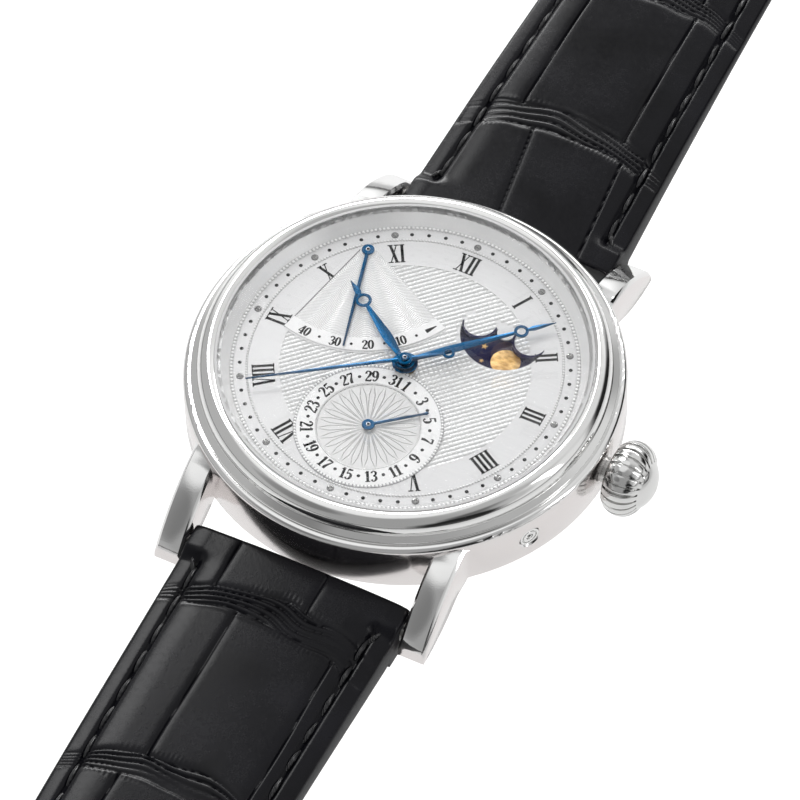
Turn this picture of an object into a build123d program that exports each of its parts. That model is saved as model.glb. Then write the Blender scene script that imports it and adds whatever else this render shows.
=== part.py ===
from build123d import *
import math
import os

# Round dress watch with a moon window, lying flat with its strap open.
# Millimetres. Z is up through the glass, Y points to 12 o'clock, X to the crown.
# The origin is on the case axis, in the plane of the case back.

# Fits shared by the whole watch
run_gap = 0.04          # shaft in its hole, each side
part_gap = 0.1          # fixed pieces that do not touch
overrun = 1.0           # how far a cutter reaches past the face it cuts

# Thicknesses that stack up from the back crystal to the dial
back_crystal_thickness = 1.0
rotor_gap = 0.45
rotor_height = 1.15
rotor_web = 0.28
winding_gap = 0.2
winding_wheel_thickness = 0.3
winding_wheel_recess = 0.1
bridge_thickness = 0.85
train_gap = 0.17
wheel_thickness = 0.15
level_gap = 0.2
plate_gap = 0.13
main_plate_thickness = 2.2
calendar_plate_thickness = 1.3
motion_space = 0.9
dial_thickness = 0.4

rotor_bottom = back_crystal_thickness + rotor_gap
rotor_top = rotor_bottom + rotor_height
winding_bottom = rotor_top + winding_gap
bridge_bottom = winding_bottom + winding_wheel_thickness - winding_wheel_recess
bridge_top = bridge_bottom + bridge_thickness
fourth_level = bridge_top + train_gap
third_level = fourth_level + wheel_thickness + level_gap
centre_level = third_level + wheel_thickness + level_gap
plate_bottom = centre_level + wheel_thickness + plate_gap
plate_top = plate_bottom + main_plate_thickness
calendar_top = plate_top + calendar_plate_thickness
dial_bottom = calendar_top + motion_space
dial_top = dial_bottom + dial_thickness

# The movement sets the width of everything round it
movement_radius = 15.6
holder_gap = 0.05
holder_width = 1.85
case_wall = 2.95
holder_outer = movement_radius + holder_gap + holder_width
case_bore_radius = holder_outer + part_gap
case_radius = case_bore_radius + case_wall

# Case middle
case_shoulder_drop = 0.9        # below the dial, where the band becomes upright
bezel_seat_drop = 0.4           # below the dial
case_foot = 3.3
case_foot_inset = 0.65
case_step_inset = 0.35
case_step_rise = 0.55
band_rise = 0.25
back_thread_ledge = 0.7
back_thread_depth = 1.35
bezel_seat = dial_top - bezel_seat_drop
case_foot_radius = case_radius - case_foot_inset
case_step_radius = case_radius - case_step_inset
case_step_height = case_foot + case_step_rise
band_bottom = case_step_height + band_rise
back_thread_radius = case_bore_radius + back_thread_ledge

# Lugs, with their reach measured from the band's outline
lug_gap = 22.3                  # between a pair of lugs
lug_width = 2.65
lug_root_inset = 6.55
lug_root_drop = 0.75            # below the dial
lug_bend_reach = 0.05
lug_bend_drop = 3.35            # below the dial
lug_reach = 3.55
lug_tip_height = 3.25
lug_foot_reach = 3.7
lug_foot_height = 1.95
lug_hollow_inset = 0.35
lug_hollow_height = 2.55
lug_heel_inset = 3.35
lug_bevel = 0.3
lug_fillet = 1.0                # where its outer side leaves the band
lug_inner = lug_gap / 2

# Bezel, rehaut and glass
bezel_inset = 0.73
bezel_step_height = 0.35
bezel_ledge = 0.62
bezel_neck_height = 0.6
bezel_swell_inset = 0.27
bezel_swell_height = 1.75
bezel_crest_inset = 0.93
bezel_crest_height = 2.33
bezel_inner_height = 2.15
bezel_lip = 0.05
rehaut_width = 1.35
rehaut_land = 0.55
rehaut_height = 1.3
glass_edge = 0.55
glass_seat = 0.5
glass_bevel = 0.35
glass_rise = 0.5
glass_vault = 0.45
gasket_width = 0.25
gasket_height = 0.5
dial_edge_gap = 0.6
bezel_outer = case_radius - bezel_inset
bezel_neck = bezel_outer - bezel_ledge
bezel_swell = bezel_neck - bezel_swell_inset
bezel_crest = bezel_swell - bezel_crest_inset
bezel_inner = case_bore_radius - bezel_lip
rehaut_foot_radius = bezel_inner - rehaut_width
rehaut_top_radius = bezel_inner - rehaut_land
glass_radius = bezel_inner - gasket_width
dial_radius = case_bore_radius - dial_edge_gap

# Dial: places and widths follow the movement
dial_hole_radius = 1.0
small_hole_radius = 0.34
guilloche_sink = 0.08
date_sink = 0.14
moon_disc_thickness = 0.3
moon_stud_radius = 0.35
guilloche_share = 0.748
date_place_shares = (0, -0.484)
date_ring_share = 0.423
date_centre_share = 0.306
moon_place_shares = (0.4263, 0.4744)
moon_window_share = 0.2673
moon_hump_offset_share = 0.1628
moon_hump_share = 0.1058
moon_tip_share = 0.045
moon_disc_share = 0.3045
reserve_place_shares = (-0.5801, 0.6699)
reserve_outer_share = 0.7564
reserve_left_angle = -105.6
reserve_right_angle = -25.4
guilloche_radius = movement_radius * guilloche_share
date_x = movement_radius * date_place_shares[0]
date_y = movement_radius * date_place_shares[1]
date_ring_radius = movement_radius * date_ring_share
date_centre_radius = movement_radius * date_centre_share
moon_x = movement_radius * moon_place_shares[0]
moon_y = movement_radius * moon_place_shares[1]
moon_window_radius = movement_radius * moon_window_share
moon_hump_offset = movement_radius * moon_hump_offset_share
moon_hump_radius = movement_radius * moon_hump_share
moon_tip_radius = movement_radius * moon_tip_share
moon_disc_radius = movement_radius * moon_disc_share
reserve_x = movement_radius * reserve_place_shares[0]
reserve_y = movement_radius * reserve_place_shares[1]
reserve_outer = movement_radius * reserve_outer_share

# Hands: heights above the dial, reaches as shares of the movement's radius
hand_thickness = 0.12
date_hand_height = 0.22
date_hand_share = 0.3654
date_hand_angle = 50.9          # clockwise from 12
reserve_hand_share = 0.7276
reserve_hand_angle = 165.0
small_hub_radius = 0.6
hour_hand_height = 0.5
hour_hand_share = 0.6923
hour_ring_share = 0.5276
hour_ring_radius = 0.73
hour_hub_radius = 1.2
hour_hand_angle = 305.7
minute_hand_height = 0.85
minute_hand_share = 0.9359
minute_ring_share = 0.7205
minute_ring_radius = 0.65
minute_hub_radius = 0.95
minute_hand_angle = 46.9
seconds_hand_height = 1.18
seconds_hand_share = 0.9487
seconds_ring_share = 0.2609
seconds_tail_share = 0.3333
seconds_ring_radius = 0.55
seconds_hub_radius = 0.7
seconds_hub_height = 0.3
seconds_hand_angle = 235.5
ring_wall = 0.19
hand_root_width = 0.42
hand_belly_width = 0.9
hand_belly_share = 0.38
hand_neck_width = 0.32
hand_point_width = 0.42
seconds_width = 0.26
seconds_hand_length = movement_radius * seconds_hand_share
seconds_ring_reach = movement_radius * seconds_ring_share
seconds_tail = movement_radius * seconds_tail_share

# Going train: teeth, and places as shares of the movement's radius
addendum_share = 0.7
dedendum_share = 1.1
barrel_teeth = 80
centre_leaves = 10
centre_teeth = 80
third_leaves = 10
third_teeth = 75
fourth_leaves = 10
fourth_teeth = 84
escape_leaves = 7
escape_teeth = 15
barrel_place_share = 0.375
barrel_angle = 60.0
third_place_share = 0.274
third_angle = 180.0
escape_place_share = 0.2683
escape_angle = 285.0
arbor_radius = 0.15
pivot_depth = 0.4
wheel_hub_radius = 0.55
wheel_rim = 0.42
spoke_width = 0.34
centre_tube_radius = 0.45
cannon_radius = 0.6
hour_tube_radius = 0.85
cannon_teeth = 12
minute_teeth = 36
minute_leaves = 10
hour_teeth = 40
minute_place_share = 0.2
motion_wheel_thickness = 0.2
motion_gap = 0.1
date_teeth = 31
date_wheel_share = 0.2756
moon_teeth = 59
barrel_distance = movement_radius * barrel_place_share
third_distance = movement_radius * third_place_share
escape_distance = movement_radius * escape_place_share
minute_distance = movement_radius * minute_place_share
date_wheel_radius = movement_radius * date_wheel_share

# Barrel and winding
barrel_wall = 0.4
barrel_flange = 0.3
barrel_height = 1.65
barrel_core_radius = 1.0
barrel_arbor_radius = 0.5
mainspring_strip = 0.16
mainspring_turns = 6
ratchet_teeth = 56
crown_wheel_teeth = 52
crown_wheel_share = 0.6154
contrate_teeth = 24
contrate_radius = 2.0
contrate_hub_radius = 0.75
pinion_teeth = 12
pinion_radius = 1.0
pinion_length = 1.2
clutch_radius = 0.9
clutch_groove_radius = 0.7
clutch_length = 1.8
stem_radius = 0.45
stem_rise = 0.9                 # stem axis above the underside of the main plate
stem_pilot = 1.6                # stem past the crown wheel's axis
crown_wheel_x = movement_radius * crown_wheel_share
stem_start = crown_wheel_x - stem_pilot

# Escapement and balance
escape_share = 0.141
escape_span = 30.0              # degrees from the pallet line to each stone
fork_share = 0.2788
fork_width = 0.32
stone_width = 0.3
stone_length = 0.75
stone_gap = 0.04
balance_angle = -50.0           # direction from the escape wheel to the balance
balance_share = 0.2564
balance_rim = 0.5
balance_height = 0.28
roller_radius = 0.45
roller_thickness = 0.15
staff_collar_radius = 0.4
hairspring_share = 0.154
hairspring_strip = 0.07
hairspring_turns = 7
hairspring_height = 0.15
stud_radius = 0.16
cock_thickness = 0.5
cock_width = 2.6
cock_foot_radius = 2.2
cock_foot_shares = (-0.064, -0.7885)
pallet_bridge_share = 0.3846
pallet_bridge_width = 1.5
escape_radius = movement_radius * escape_share
fork_length = movement_radius * fork_share
balance_radius = movement_radius * balance_share
hairspring_radius = movement_radius * hairspring_share
cock_foot_x = movement_radius * cock_foot_shares[0]
cock_foot_y = movement_radius * cock_foot_shares[1]
pallet_bridge_length = movement_radius * pallet_bridge_share

# Plates, bridges and rotor
plate_rim = 0.7
bridge_split = 2.0
bridge_slit = 0.16
bridge_margin = 0.8             # of the bridge round its crown wheel
bridge_foot_width = 2.7
rotor_edge_gap = 0.4
rotor_rim = 2.3
rotor_hub_radius = 2.2
rotor_post_radius = 1.0
rotor_flange_radius = 1.6
rotor_flange_height = 0.2
bridge_foot_radius = movement_radius - bridge_foot_width
rotor_radius = movement_radius - rotor_edge_gap

# Case back
back_inset = 0.5
back_chamfer = 1.8
back_neck_height = 1.1
back_neck_wall = 1.1
back_window_inset = 0.1
back_lip = 0.7
back_lip_height = 0.3
back_hollow = 0.5
key_slots = 6
key_slot_width = 2.4
key_slot_depth = 0.5
key_slot_length = 1.2
back_gasket_ledge = 0.55
back_gasket_width = 0.4
back_gasket_height = 0.3
back_radius = case_foot_radius - back_inset
back_foot_radius = back_radius - back_chamfer
back_neck_radius = back_thread_radius - back_neck_wall
back_window_radius = movement_radius - back_window_inset
back_hollow_radius = back_window_radius + back_hollow
back_gasket_radius = back_thread_radius + back_gasket_ledge

# Crown and corrector
crown_gap = 0.4
crown_length = 4.65
crown_radius = 3.62
crown_neck_radius = 1.75
crown_collar_radius = 2.9
crown_collar_share = 0.08       # of the crown's length, from the case outwards
crown_middle_share = 0.4
crown_brow_share = 0.8
crown_cap_share = 0.84
crown_brow_radius = 2.35
crown_cap_radius = 2.1
crown_hollow_depth = 1.3
crown_hollow_radius = 1.35
crown_flutes = 24
crown_flute_width = 4.6         # degrees
crown_flute_depth = 0.34
tube_outer = 1.2
tube_bore = 0.55
tube_inset = 0.8
tube_reach = 1.35
corrector_angle = -30.0
corrector_drop = 3.2            # below the dial
corrector_head_radius = 1.0
corrector_head_length = 0.8
corrector_groove_radius = 0.72
corrector_groove_width = 0.14
corrector_dimple_radius = 0.36
corrector_dimple_depth = 0.2
corrector_rim = 0.18            # bevel round its hole
corrector_inset = 0.12
corrector_recess = 0.6          # how far the head can sink
corrector_shaft_radius = 0.4
corrector_shaft_reach = 0.5     # into the movement holder
crown_inner = case_radius + crown_gap
tube_start = case_bore_radius + tube_inset
tube_end = case_radius + tube_reach
corrector_face = case_radius - corrector_inset
corrector_shaft_end = holder_outer - corrector_shaft_reach

# Spring bars and strap
bar_reach = 2.0                 # bar axis beyond the band
bar_height = 3.25
bar_radius = 0.9
bar_bore = 0.55
bar_end_gap = 0.2
pin_radius = 0.42
pin_reach = 1.15
pin_length = 3.4
strap_side_gap = 0.2
buckle_width = 18.0
strap_near = 1.5
strap_top = 2.25
strap_bottom = 2.15
strap_heel_radius = 1.5
strap_fit = 0.05
lining_thickness = 0.7
lining_start = 2.8
pad_inset = 2.7
short_length = 75.0
long_length = 117.0
short_end = 17.0                # straight stretch at the buckle
tail_end = 33.0                 # straight stretch at the free end
buckle_strap_bottom = 1.1
buckle_strap_thickness = 2.4
tail_thickness = 2.2
tail_lift = 0
tail_round = 9.0
strap_hole_radius = 1.0
strap_hole_end = 16.0           # last hole to the free end
strap_hole_pitch = 6.5
strap_holes = 7
bar_y = case_radius + bar_reach
strap_width = lug_gap - 2 * strap_side_gap
short_flat = short_length - short_end
tail_flat = long_length - tail_end
strap_hole_last = long_length - strap_hole_end

# Where a strap's side view bends, as shares of its curved part, and its heights there
curve_shares = (0.22, 0.5)
curve_bottom_shares = (0.13, 0.2)       # of the strap's height at the bar
curve_top_shares = (0.97, 0.83)
rim_shares = (0.78, 0.66)

# Keepers and buckle
keeper_wall = 1.0
keeper_side = 0.9
keeper_width = 5.0
keeper_slack = 1.0              # each side of the strap
keeper_room = 0.4               # over both straps
fixed_keeper_gap = 6.5          # keeper to the buckle pin
keeper_spacing = 7.5
buckle_pin_radius = 0.6
buckle_slack = 0.7              # each side of the strap
buckle_arm = 1.5
buckle_reach = 12.0
buckle_bar = 2.2
buckle_height = 2.2
buckle_round = 3.2
tongue_width = 2.2
tongue_thickness = 0.7
tongue_slot_gap = 0.5
tongue_slot_length = 2.6
loop_wall = 0.5
keeper_inner_width = buckle_width + 2 * keeper_slack
keeper_inner_height = buckle_strap_thickness + tail_thickness + keeper_room
fixed_keeper_start = short_length - fixed_keeper_gap - keeper_width
free_keeper_start = fixed_keeper_start - keeper_spacing - keeper_width
buckle_inner = buckle_width + 2 * buckle_slack
tongue_slot_width = tongue_width + 2 * tongue_slot_gap


def polar(radius, angle):
    return (radius * math.cos(math.radians(angle)), radius * math.sin(math.radians(angle)))


def clock(angle):
    return 90 - angle


def turned(points):
    outline = Polyline(*[(radius, 0, height) for radius, height in points], close=True)
    return revolve(make_face(outline), Axis.Z)


def slab(sketch, bottom, top):
    return Pos(0, 0, bottom) * extrude(sketch, top - bottom)


def rod(radius, bottom, top, x=0.0, y=0.0):
    return Pos(x, y, 0) * slab(Circle(radius), bottom, top)


def ring(outer, inner, bottom, top):
    return slab(Circle(outer) - Circle(inner), bottom, top)


def radial_rod(radius, start, end, height, angle=0.0):
    lying = Pos(start, 0, height) * Rot(0, 90, 0) * extrude(Circle(radius), end - start)
    return Rot(0, 0, angle) * lying


def wheel_outline(teeth, module, blunt_share=0.0):
    pitch = teeth * module / 2
    tip = pitch + module * addendum_share
    root = pitch - module * dedendum_share
    step = 360 / teeth
    points = []
    for tooth in range(teeth):
        angle = tooth * step
        if blunt_share:
            points.append(polar(tip, angle - blunt_share * step))
            points.append(polar(tip, angle + blunt_share * step))
            points.append(polar(root, angle + (0.5 - blunt_share) * step))
            points.append(polar(root, angle + (0.5 + blunt_share) * step))
        else:
            points.append(polar(tip, angle))
            points.append(polar(root, angle + step / 2))
    return make_face(Polyline(*points, close=True))


def leaf_outline(teeth, module):
    return wheel_outline(teeth, module, 0.13)


def crossed(outline, rim_radius, hub_radius, spokes, width):
    windows = Circle(rim_radius) - Circle(hub_radius)
    for turn in range(spokes):
        arm = Pos(rim_radius / 2, 0) * Rectangle(rim_radius, width)
        windows -= Rot(0, 0, turn * 360 / spokes) * arm
    return outline - windows


def train_wheel(teeth, module, level, leaves, leaf_module, leaf_low, leaf_high, spokes):
    pitch = teeth * module / 2
    rim_radius = pitch - module - wheel_rim
    outline = crossed(wheel_outline(teeth, module), rim_radius, wheel_hub_radius, spokes, spoke_width)
    solid = slab(outline, level, level + wheel_thickness)
    solid += slab(leaf_outline(leaves, leaf_module), leaf_low, leaf_high)
    solid += rod(arbor_radius, bridge_top - pivot_depth, plate_bottom + pivot_depth)
    return solid


# Modules follow from the axis distances
barrel_module = 2 * barrel_distance / (barrel_teeth + centre_leaves)
centre_module = 2 * third_distance / (centre_teeth + third_leaves)
third_module = 2 * third_distance / (third_teeth + fourth_leaves)
fourth_module = 2 * escape_distance / (fourth_teeth + escape_leaves)
cannon_module = 2 * minute_distance / (cannon_teeth + minute_teeth)
hour_module = 2 * minute_distance / (hour_teeth + minute_leaves)

barrel_x, barrel_y = polar(barrel_distance, barrel_angle)
third_x, third_y = polar(third_distance, third_angle)
escape_x, escape_y = polar(escape_distance, escape_angle)
winding_distance = math.hypot(crown_wheel_x - barrel_x, barrel_y)
winding_module = 2 * winding_distance / (ratchet_teeth + crown_wheel_teeth)
pallet_distance = escape_radius / math.cos(math.radians(escape_span))
pallet_x = escape_x + polar(pallet_distance, balance_angle)[0]
pallet_y = escape_y + polar(pallet_distance, balance_angle)[1]
balance_x = pallet_x + polar(fork_length, balance_angle)[0]
balance_y = pallet_y + polar(fork_length, balance_angle)[1]
stem_height = plate_bottom + stem_rise
barrel_bottom = plate_bottom + part_gap
barrel_top = barrel_bottom + barrel_height
balance_bottom = bridge_top + part_gap
motion_low = calendar_top + motion_gap
motion_high = motion_low + motion_wheel_thickness + motion_gap
moon_bottom = dial_bottom - part_gap - moon_disc_thickness
pin_hole_radius = pin_radius + run_gap


def lug():
    root_height = dial_top - lug_root_drop
    lug_root = case_radius - lug_root_inset
    points = {
        "root": (0, lug_root, root_height),
        "bend": (0, case_radius + lug_bend_reach, dial_top - lug_bend_drop),
        "tip": (0, case_radius + lug_reach, lug_tip_height),
        "foot": (0, case_radius + lug_foot_reach, lug_foot_height),
        "hollow": (0, case_radius - lug_hollow_inset, lug_hollow_height),
        "heel": (0, case_radius - lug_heel_inset, case_step_height),
        "back": (0, lug_root, case_step_height),
    }
    top = ThreePointArc(points["root"], points["bend"], points["tip"])
    end = Line(points["tip"], points["foot"])
    under = ThreePointArc(points["foot"], points["hollow"], points["heel"])
    heel = Line(points["heel"], points["back"])
    back = Line(points["back"], points["root"])
    profile = make_face([top, end, under, heel, back])
    solid = Pos(lug_inner, 0, 0) * extrude(profile, lug_width, dir=(1, 0, 0))
    arcs = solid.edges().filter_by(GeomType.CIRCLE).sort_by(Axis.Z)
    return chamfer(arcs[-2:], lug_bevel)


def case_middle():
    shoulder = dial_top - case_shoulder_drop
    rounding = case_radius - case_foot_radius
    lines = [
        Line((0, 0, case_foot), (case_foot_radius, 0, case_foot)),
        Line((case_foot_radius, 0, case_foot), (case_step_radius, 0, case_step_height)),
        Line((case_step_radius, 0, case_step_height), (case_radius, 0, band_bottom)),
        Line((case_radius, 0, band_bottom), (case_radius, 0, shoulder)),
        ThreePointArc(
            (case_radius, 0, shoulder),
            (case_radius - rounding * 0.3, 0, shoulder + (bezel_seat - shoulder) * 0.7),
            (case_foot_radius, 0, bezel_seat),
        ),
        Line((case_foot_radius, 0, bezel_seat), (0, 0, bezel_seat)),
        Line((0, 0, bezel_seat), (0, 0, case_foot)),
    ]
    solid = revolve(make_face(lines), Axis.Z)
    one_lug = lug()
    side_lugs = one_lug + mirror(one_lug, Plane.YZ)
    solid += side_lugs + mirror(side_lugs, Plane.XZ)
    outer_side = lug_inner + lug_width
    seams = []
    for edge in solid.edges().filter_by(Axis.Z):
        if abs(abs(edge.center().X) - outer_side) < part_gap:
            seams.append(edge)
    solid = fillet(seams, lug_fillet)
    thread_top = case_foot + back_thread_depth
    solid -= rod(case_bore_radius, thread_top, bezel_seat + overrun)
    solid -= rod(back_thread_radius, case_foot - overrun, thread_top)
    gasket_outer = back_gasket_radius + back_gasket_width / 2
    gasket_inner = back_gasket_radius - back_gasket_width / 2
    solid -= ring(gasket_outer, gasket_inner, case_foot - overrun, case_foot + back_gasket_height)
    solid -= radial_rod(tube_outer, case_bore_radius - overrun, case_radius + overrun, stem_height)
    corrector_height = dial_top - corrector_drop
    head_hole = corrector_head_radius + run_gap
    shaft_hole = corrector_shaft_radius + run_gap
    recess_start = corrector_face - corrector_head_length - corrector_recess
    solid -= radial_rod(head_hole, recess_start, case_radius + overrun, corrector_height, corrector_angle)
    bevel = Cone(head_hole, head_hole + 2 * corrector_rim, 2 * corrector_rim)
    bevel_place = Pos(case_radius, 0, corrector_height) * Rot(0, 90, 0)
    solid -= Rot(0, 0, corrector_angle) * bevel_place * bevel
    solid -= radial_rod(
        shaft_hole, case_bore_radius - overrun, case_radius, corrector_height, corrector_angle
    )
    bore_end = lug_inner + pin_reach + part_gap
    for side in (1, -1):
        bore = Pos(-bore_end, side * bar_y, bar_height) * Rot(0, 90, 0)
        solid -= bore * extrude(Circle(pin_hole_radius), 2 * bore_end)
    return solid


def bezel():
    base = bezel_seat
    lines = [
        Line((bezel_inner, 0, base), (bezel_outer, 0, base)),
        Line((bezel_outer, 0, base), (bezel_outer, 0, base + bezel_step_height)),
        Line((bezel_outer, 0, base + bezel_step_height), (bezel_neck, 0, base + bezel_neck_height)),
        ThreePointArc(
            (bezel_neck, 0, base + bezel_neck_height),
            (bezel_swell, 0, base + bezel_swell_height),
            (bezel_crest, 0, base + bezel_crest_height),
        ),
        Line((bezel_crest, 0, base + bezel_crest_height), (bezel_inner, 0, base + bezel_inner_height)),
        Line((bezel_inner, 0, base + bezel_inner_height), (bezel_inner, 0, base)),
    ]
    return revolve(make_face(lines), Axis.Z)


def rehaut_ring():
    top = dial_top + rehaut_height
    return turned(
        [
            (rehaut_foot_radius, dial_top),
            (bezel_inner, dial_top),
            (bezel_inner, top),
            (rehaut_top_radius, top),
        ]
    )


def crystal_gasket():
    bottom = dial_top + rehaut_height
    return ring(bezel_inner, glass_radius, bottom, bottom + gasket_height)


def vault(radius, rise, rim_height):
    # arc from the axis down to the rim, level at the axis
    curve = (radius ** 2 + rise ** 2) / (2 * rise)
    half_angle = math.asin(radius / curve) / 2
    middle = (curve * math.sin(half_angle), 0, rim_height + rise - curve * (1 - math.cos(half_angle)))
    return ThreePointArc((0, 0, rim_height + rise), middle, (radius, 0, rim_height))


def front_crystal():
    bottom = dial_top + rehaut_height
    inside = glass_radius - glass_seat
    shoulder = bottom + glass_edge
    outside = glass_radius - glass_bevel
    brow = shoulder + glass_bevel
    lines = [
        Line((0, 0, bottom + glass_vault), (inside, 0, bottom + glass_vault)),
        Line((inside, 0, bottom + glass_vault), (inside, 0, bottom)),
        Line((inside, 0, bottom), (glass_radius, 0, bottom)),
        Line((glass_radius, 0, bottom), (glass_radius, 0, shoulder)),
        Line((glass_radius, 0, shoulder), (outside, 0, brow)),
        vault(outside, glass_rise, brow),
        Line((0, 0, brow + glass_rise), (0, 0, bottom + glass_vault)),
    ]
    return revolve(make_face(lines), Axis.Z)


def moon_window():
    lower = Circle(moon_window_radius)
    for side in (1, -1):
        lower -= Pos(side * moon_hump_offset, 0) * Circle(moon_hump_radius)
    above = Pos(0, moon_window_radius) * Rectangle(2 * moon_window_radius, 2 * moon_window_radius)
    middle = Pos(0, moon_tip_radius / 2) * Rectangle(
        2 * (moon_hump_offset - moon_hump_radius), moon_tip_radius
    )
    window = lower - (above - middle)
    return Pos(moon_x, moon_y) * (window - Pos(0, moon_tip_radius) * Circle(moon_tip_radius))


def reserve_sector():
    corners = [
        (0, 0),
        polar(2 * reserve_outer, reserve_left_angle),
        polar(2 * reserve_outer, (reserve_left_angle + reserve_right_angle) / 2),
        polar(2 * reserve_outer, reserve_right_angle),
    ]
    wedge = make_face(Polyline(*corners, close=True))
    return Pos(reserve_x, reserve_y) * (Circle(reserve_outer) & wedge)


def dial():
    holes = Circle(dial_hole_radius) + moon_window()
    holes += Pos(date_x, date_y) * Circle(small_hole_radius)
    holes += Pos(reserve_x, reserve_y) * Circle(small_hole_radius)
    solid = slab(Circle(dial_radius) - holes, dial_bottom, dial_top)
    sunk = Circle(guilloche_radius) - Pos(date_x, date_y) * Circle(date_ring_radius)
    sunk -= reserve_sector()
    solid -= slab(sunk, dial_top - guilloche_sink, dial_top + overrun)
    date_centre = Pos(date_x, date_y) * Circle(date_centre_radius)
    solid -= slab(date_centre, dial_top - date_sink, dial_top + overrun)
    return solid


def straight_arm(width_start, width_end, start, end):
    return make_face(
        Polyline(
            (start, -width_start / 2),
            (end, -width_end / 2),
            (end, width_end / 2),
            (start, width_start / 2),
            close=True,
        )
    )


def leaf_arm(root, belly, neck, start, end):
    # narrow at both ends and widest nearer to the hub
    widest = start + (end - start) * hand_belly_share
    edges = []
    for side in (1, -1):
        edges.append(
            Spline((start, side * root / 2), (widest, side * belly / 2), (end, side * neck / 2))
        )
    edges.append(Line((start, root / 2), (start, -root / 2)))
    edges.append(Line((end, neck / 2), (end, -neck / 2)))
    return make_face(edges)


def open_ring_hand(length_share, ring_share, ring_radius, hub_radius, bore):
    # a tapering arm, an open ring and a leaf-shaped point
    length = movement_radius * length_share
    reach = movement_radius * ring_share
    hollow = Pos(reach, 0) * Circle(ring_radius - ring_wall)
    neck = reach - ring_radius + ring_wall / 2
    arm = leaf_arm(hand_root_width, hand_belly_width, hand_neck_width, hub_radius / 2, neck)
    start = reach + ring_radius - ring_wall / 2
    belly = start + (length - start) * 0.3
    point = make_face(
        Polyline(
            (start, -hand_point_width / 4),
            (belly, -hand_point_width / 2),
            (length, 0),
            (belly, hand_point_width / 2),
            (start, hand_point_width / 4),
            close=True,
        )
    )
    shape = arm + point + Pos(reach, 0) * Circle(ring_radius) + Circle(hub_radius)
    return shape - hollow - Circle(bore)


def hour_hand():
    low = dial_top + hour_hand_height
    shape = open_ring_hand(
        hour_hand_share, hour_ring_share, hour_ring_radius, hour_hub_radius, hour_tube_radius
    )
    return Rot(0, 0, clock(hour_hand_angle)) * slab(shape, low, low + hand_thickness)


def minute_hand():
    low = dial_top + minute_hand_height
    shape = open_ring_hand(
        minute_hand_share, minute_ring_share, minute_ring_radius, minute_hub_radius, cannon_radius
    )
    return Rot(0, 0, clock(minute_hand_angle)) * slab(shape, low, low + hand_thickness)


def seconds_hand():
    low = dial_top + seconds_hand_height
    shape = straight_arm(seconds_width, seconds_width / 3, 0, seconds_hand_length)
    shape += straight_arm(seconds_width, seconds_width, -seconds_tail, 0)
    shape += Pos(-seconds_ring_reach, 0) * Circle(seconds_ring_radius)
    shape -= Pos(-seconds_ring_reach, 0) * Circle(seconds_ring_radius - ring_wall)
    shape += Circle(seconds_hub_radius)
    solid = slab(shape, low, low + hand_thickness)
    solid += rod(seconds_hub_radius / 2, low, low + seconds_hub_height)
    solid -= rod(arbor_radius, low - overrun, low + hand_thickness)
    return Rot(0, 0, clock(seconds_hand_angle)) * solid


def small_hand(length):
    shape = straight_arm(seconds_width * 1.4, seconds_width / 3, 0, length) + Circle(small_hub_radius)
    return shape - Circle(arbor_radius)


def date_hand():
    low = dial_top + date_hand_height
    solid = slab(small_hand(movement_radius * date_hand_share), low, low + hand_thickness)
    return Pos(date_x, date_y, 0) * Rot(0, 0, clock(date_hand_angle)) * solid


def power_reserve_hand():
    low = dial_top + date_hand_height
    solid = slab(small_hand(movement_radius * reserve_hand_share), low, low + hand_thickness)
    arbor = rod(arbor_radius, calendar_top - pivot_depth, low + hand_thickness)
    leaves = leaf_outline(cannon_teeth, cannon_module)
    pinion = slab(leaves, motion_high, motion_high + motion_wheel_thickness)
    turned_hand = Rot(0, 0, clock(reserve_hand_angle)) * solid
    return Pos(reserve_x, reserve_y, 0) * (turned_hand + arbor + pinion)


def moon_disc():
    module = 2 * moon_disc_radius / (moon_teeth + 2 * addendum_share)
    outline = wheel_outline(moon_teeth, module) - Circle(moon_stud_radius + run_gap)
    return Pos(moon_x, moon_y, 0) * slab(outline, moon_bottom, moon_bottom + moon_disc_thickness)


def date_wheel():
    module = 2 * date_wheel_radius / (date_teeth + 2 * addendum_share)
    rim_radius = date_wheel_radius - 2 * module * dedendum_share - wheel_rim
    outline = crossed(wheel_outline(date_teeth, module), rim_radius, wheel_hub_radius, 5, spoke_width)
    solid = slab(outline, motion_high, motion_high + motion_wheel_thickness)
    top = dial_top + date_hand_height + hand_thickness
    solid += rod(arbor_radius, calendar_top - pivot_depth, top)
    return Pos(date_x, date_y, 0) * solid


def hour_wheel():
    outline = wheel_outline(hour_teeth, hour_module) - Circle(cannon_radius + run_gap)
    solid = slab(outline, motion_high, motion_high + motion_wheel_thickness)
    tube_top = dial_top + hour_hand_height + hand_thickness
    return solid + ring(hour_tube_radius, cannon_radius + run_gap, motion_high, tube_top)


def minute_wheel():
    outline = wheel_outline(minute_teeth, cannon_module)
    solid = slab(outline, motion_low, motion_low + motion_wheel_thickness)
    leaves_top = motion_high + motion_wheel_thickness
    solid += slab(leaf_outline(minute_leaves, hour_module), motion_low, leaves_top)
    solid -= rod(arbor_radius + run_gap, calendar_top, dial_bottom)
    mesh_turn = 180 + 180 / minute_teeth
    return Pos(minute_distance, 0, 0) * Rot(0, 0, mesh_turn) * solid


def cannon_pinion():
    top = dial_top + minute_hand_height + hand_thickness
    bottom = plate_top + part_gap
    tube = ring(cannon_radius, centre_tube_radius, bottom, top)
    teeth = leaf_outline(cannon_teeth, cannon_module) - Circle(centre_tube_radius)
    return tube + slab(teeth, motion_low, motion_low + motion_wheel_thickness)


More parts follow.
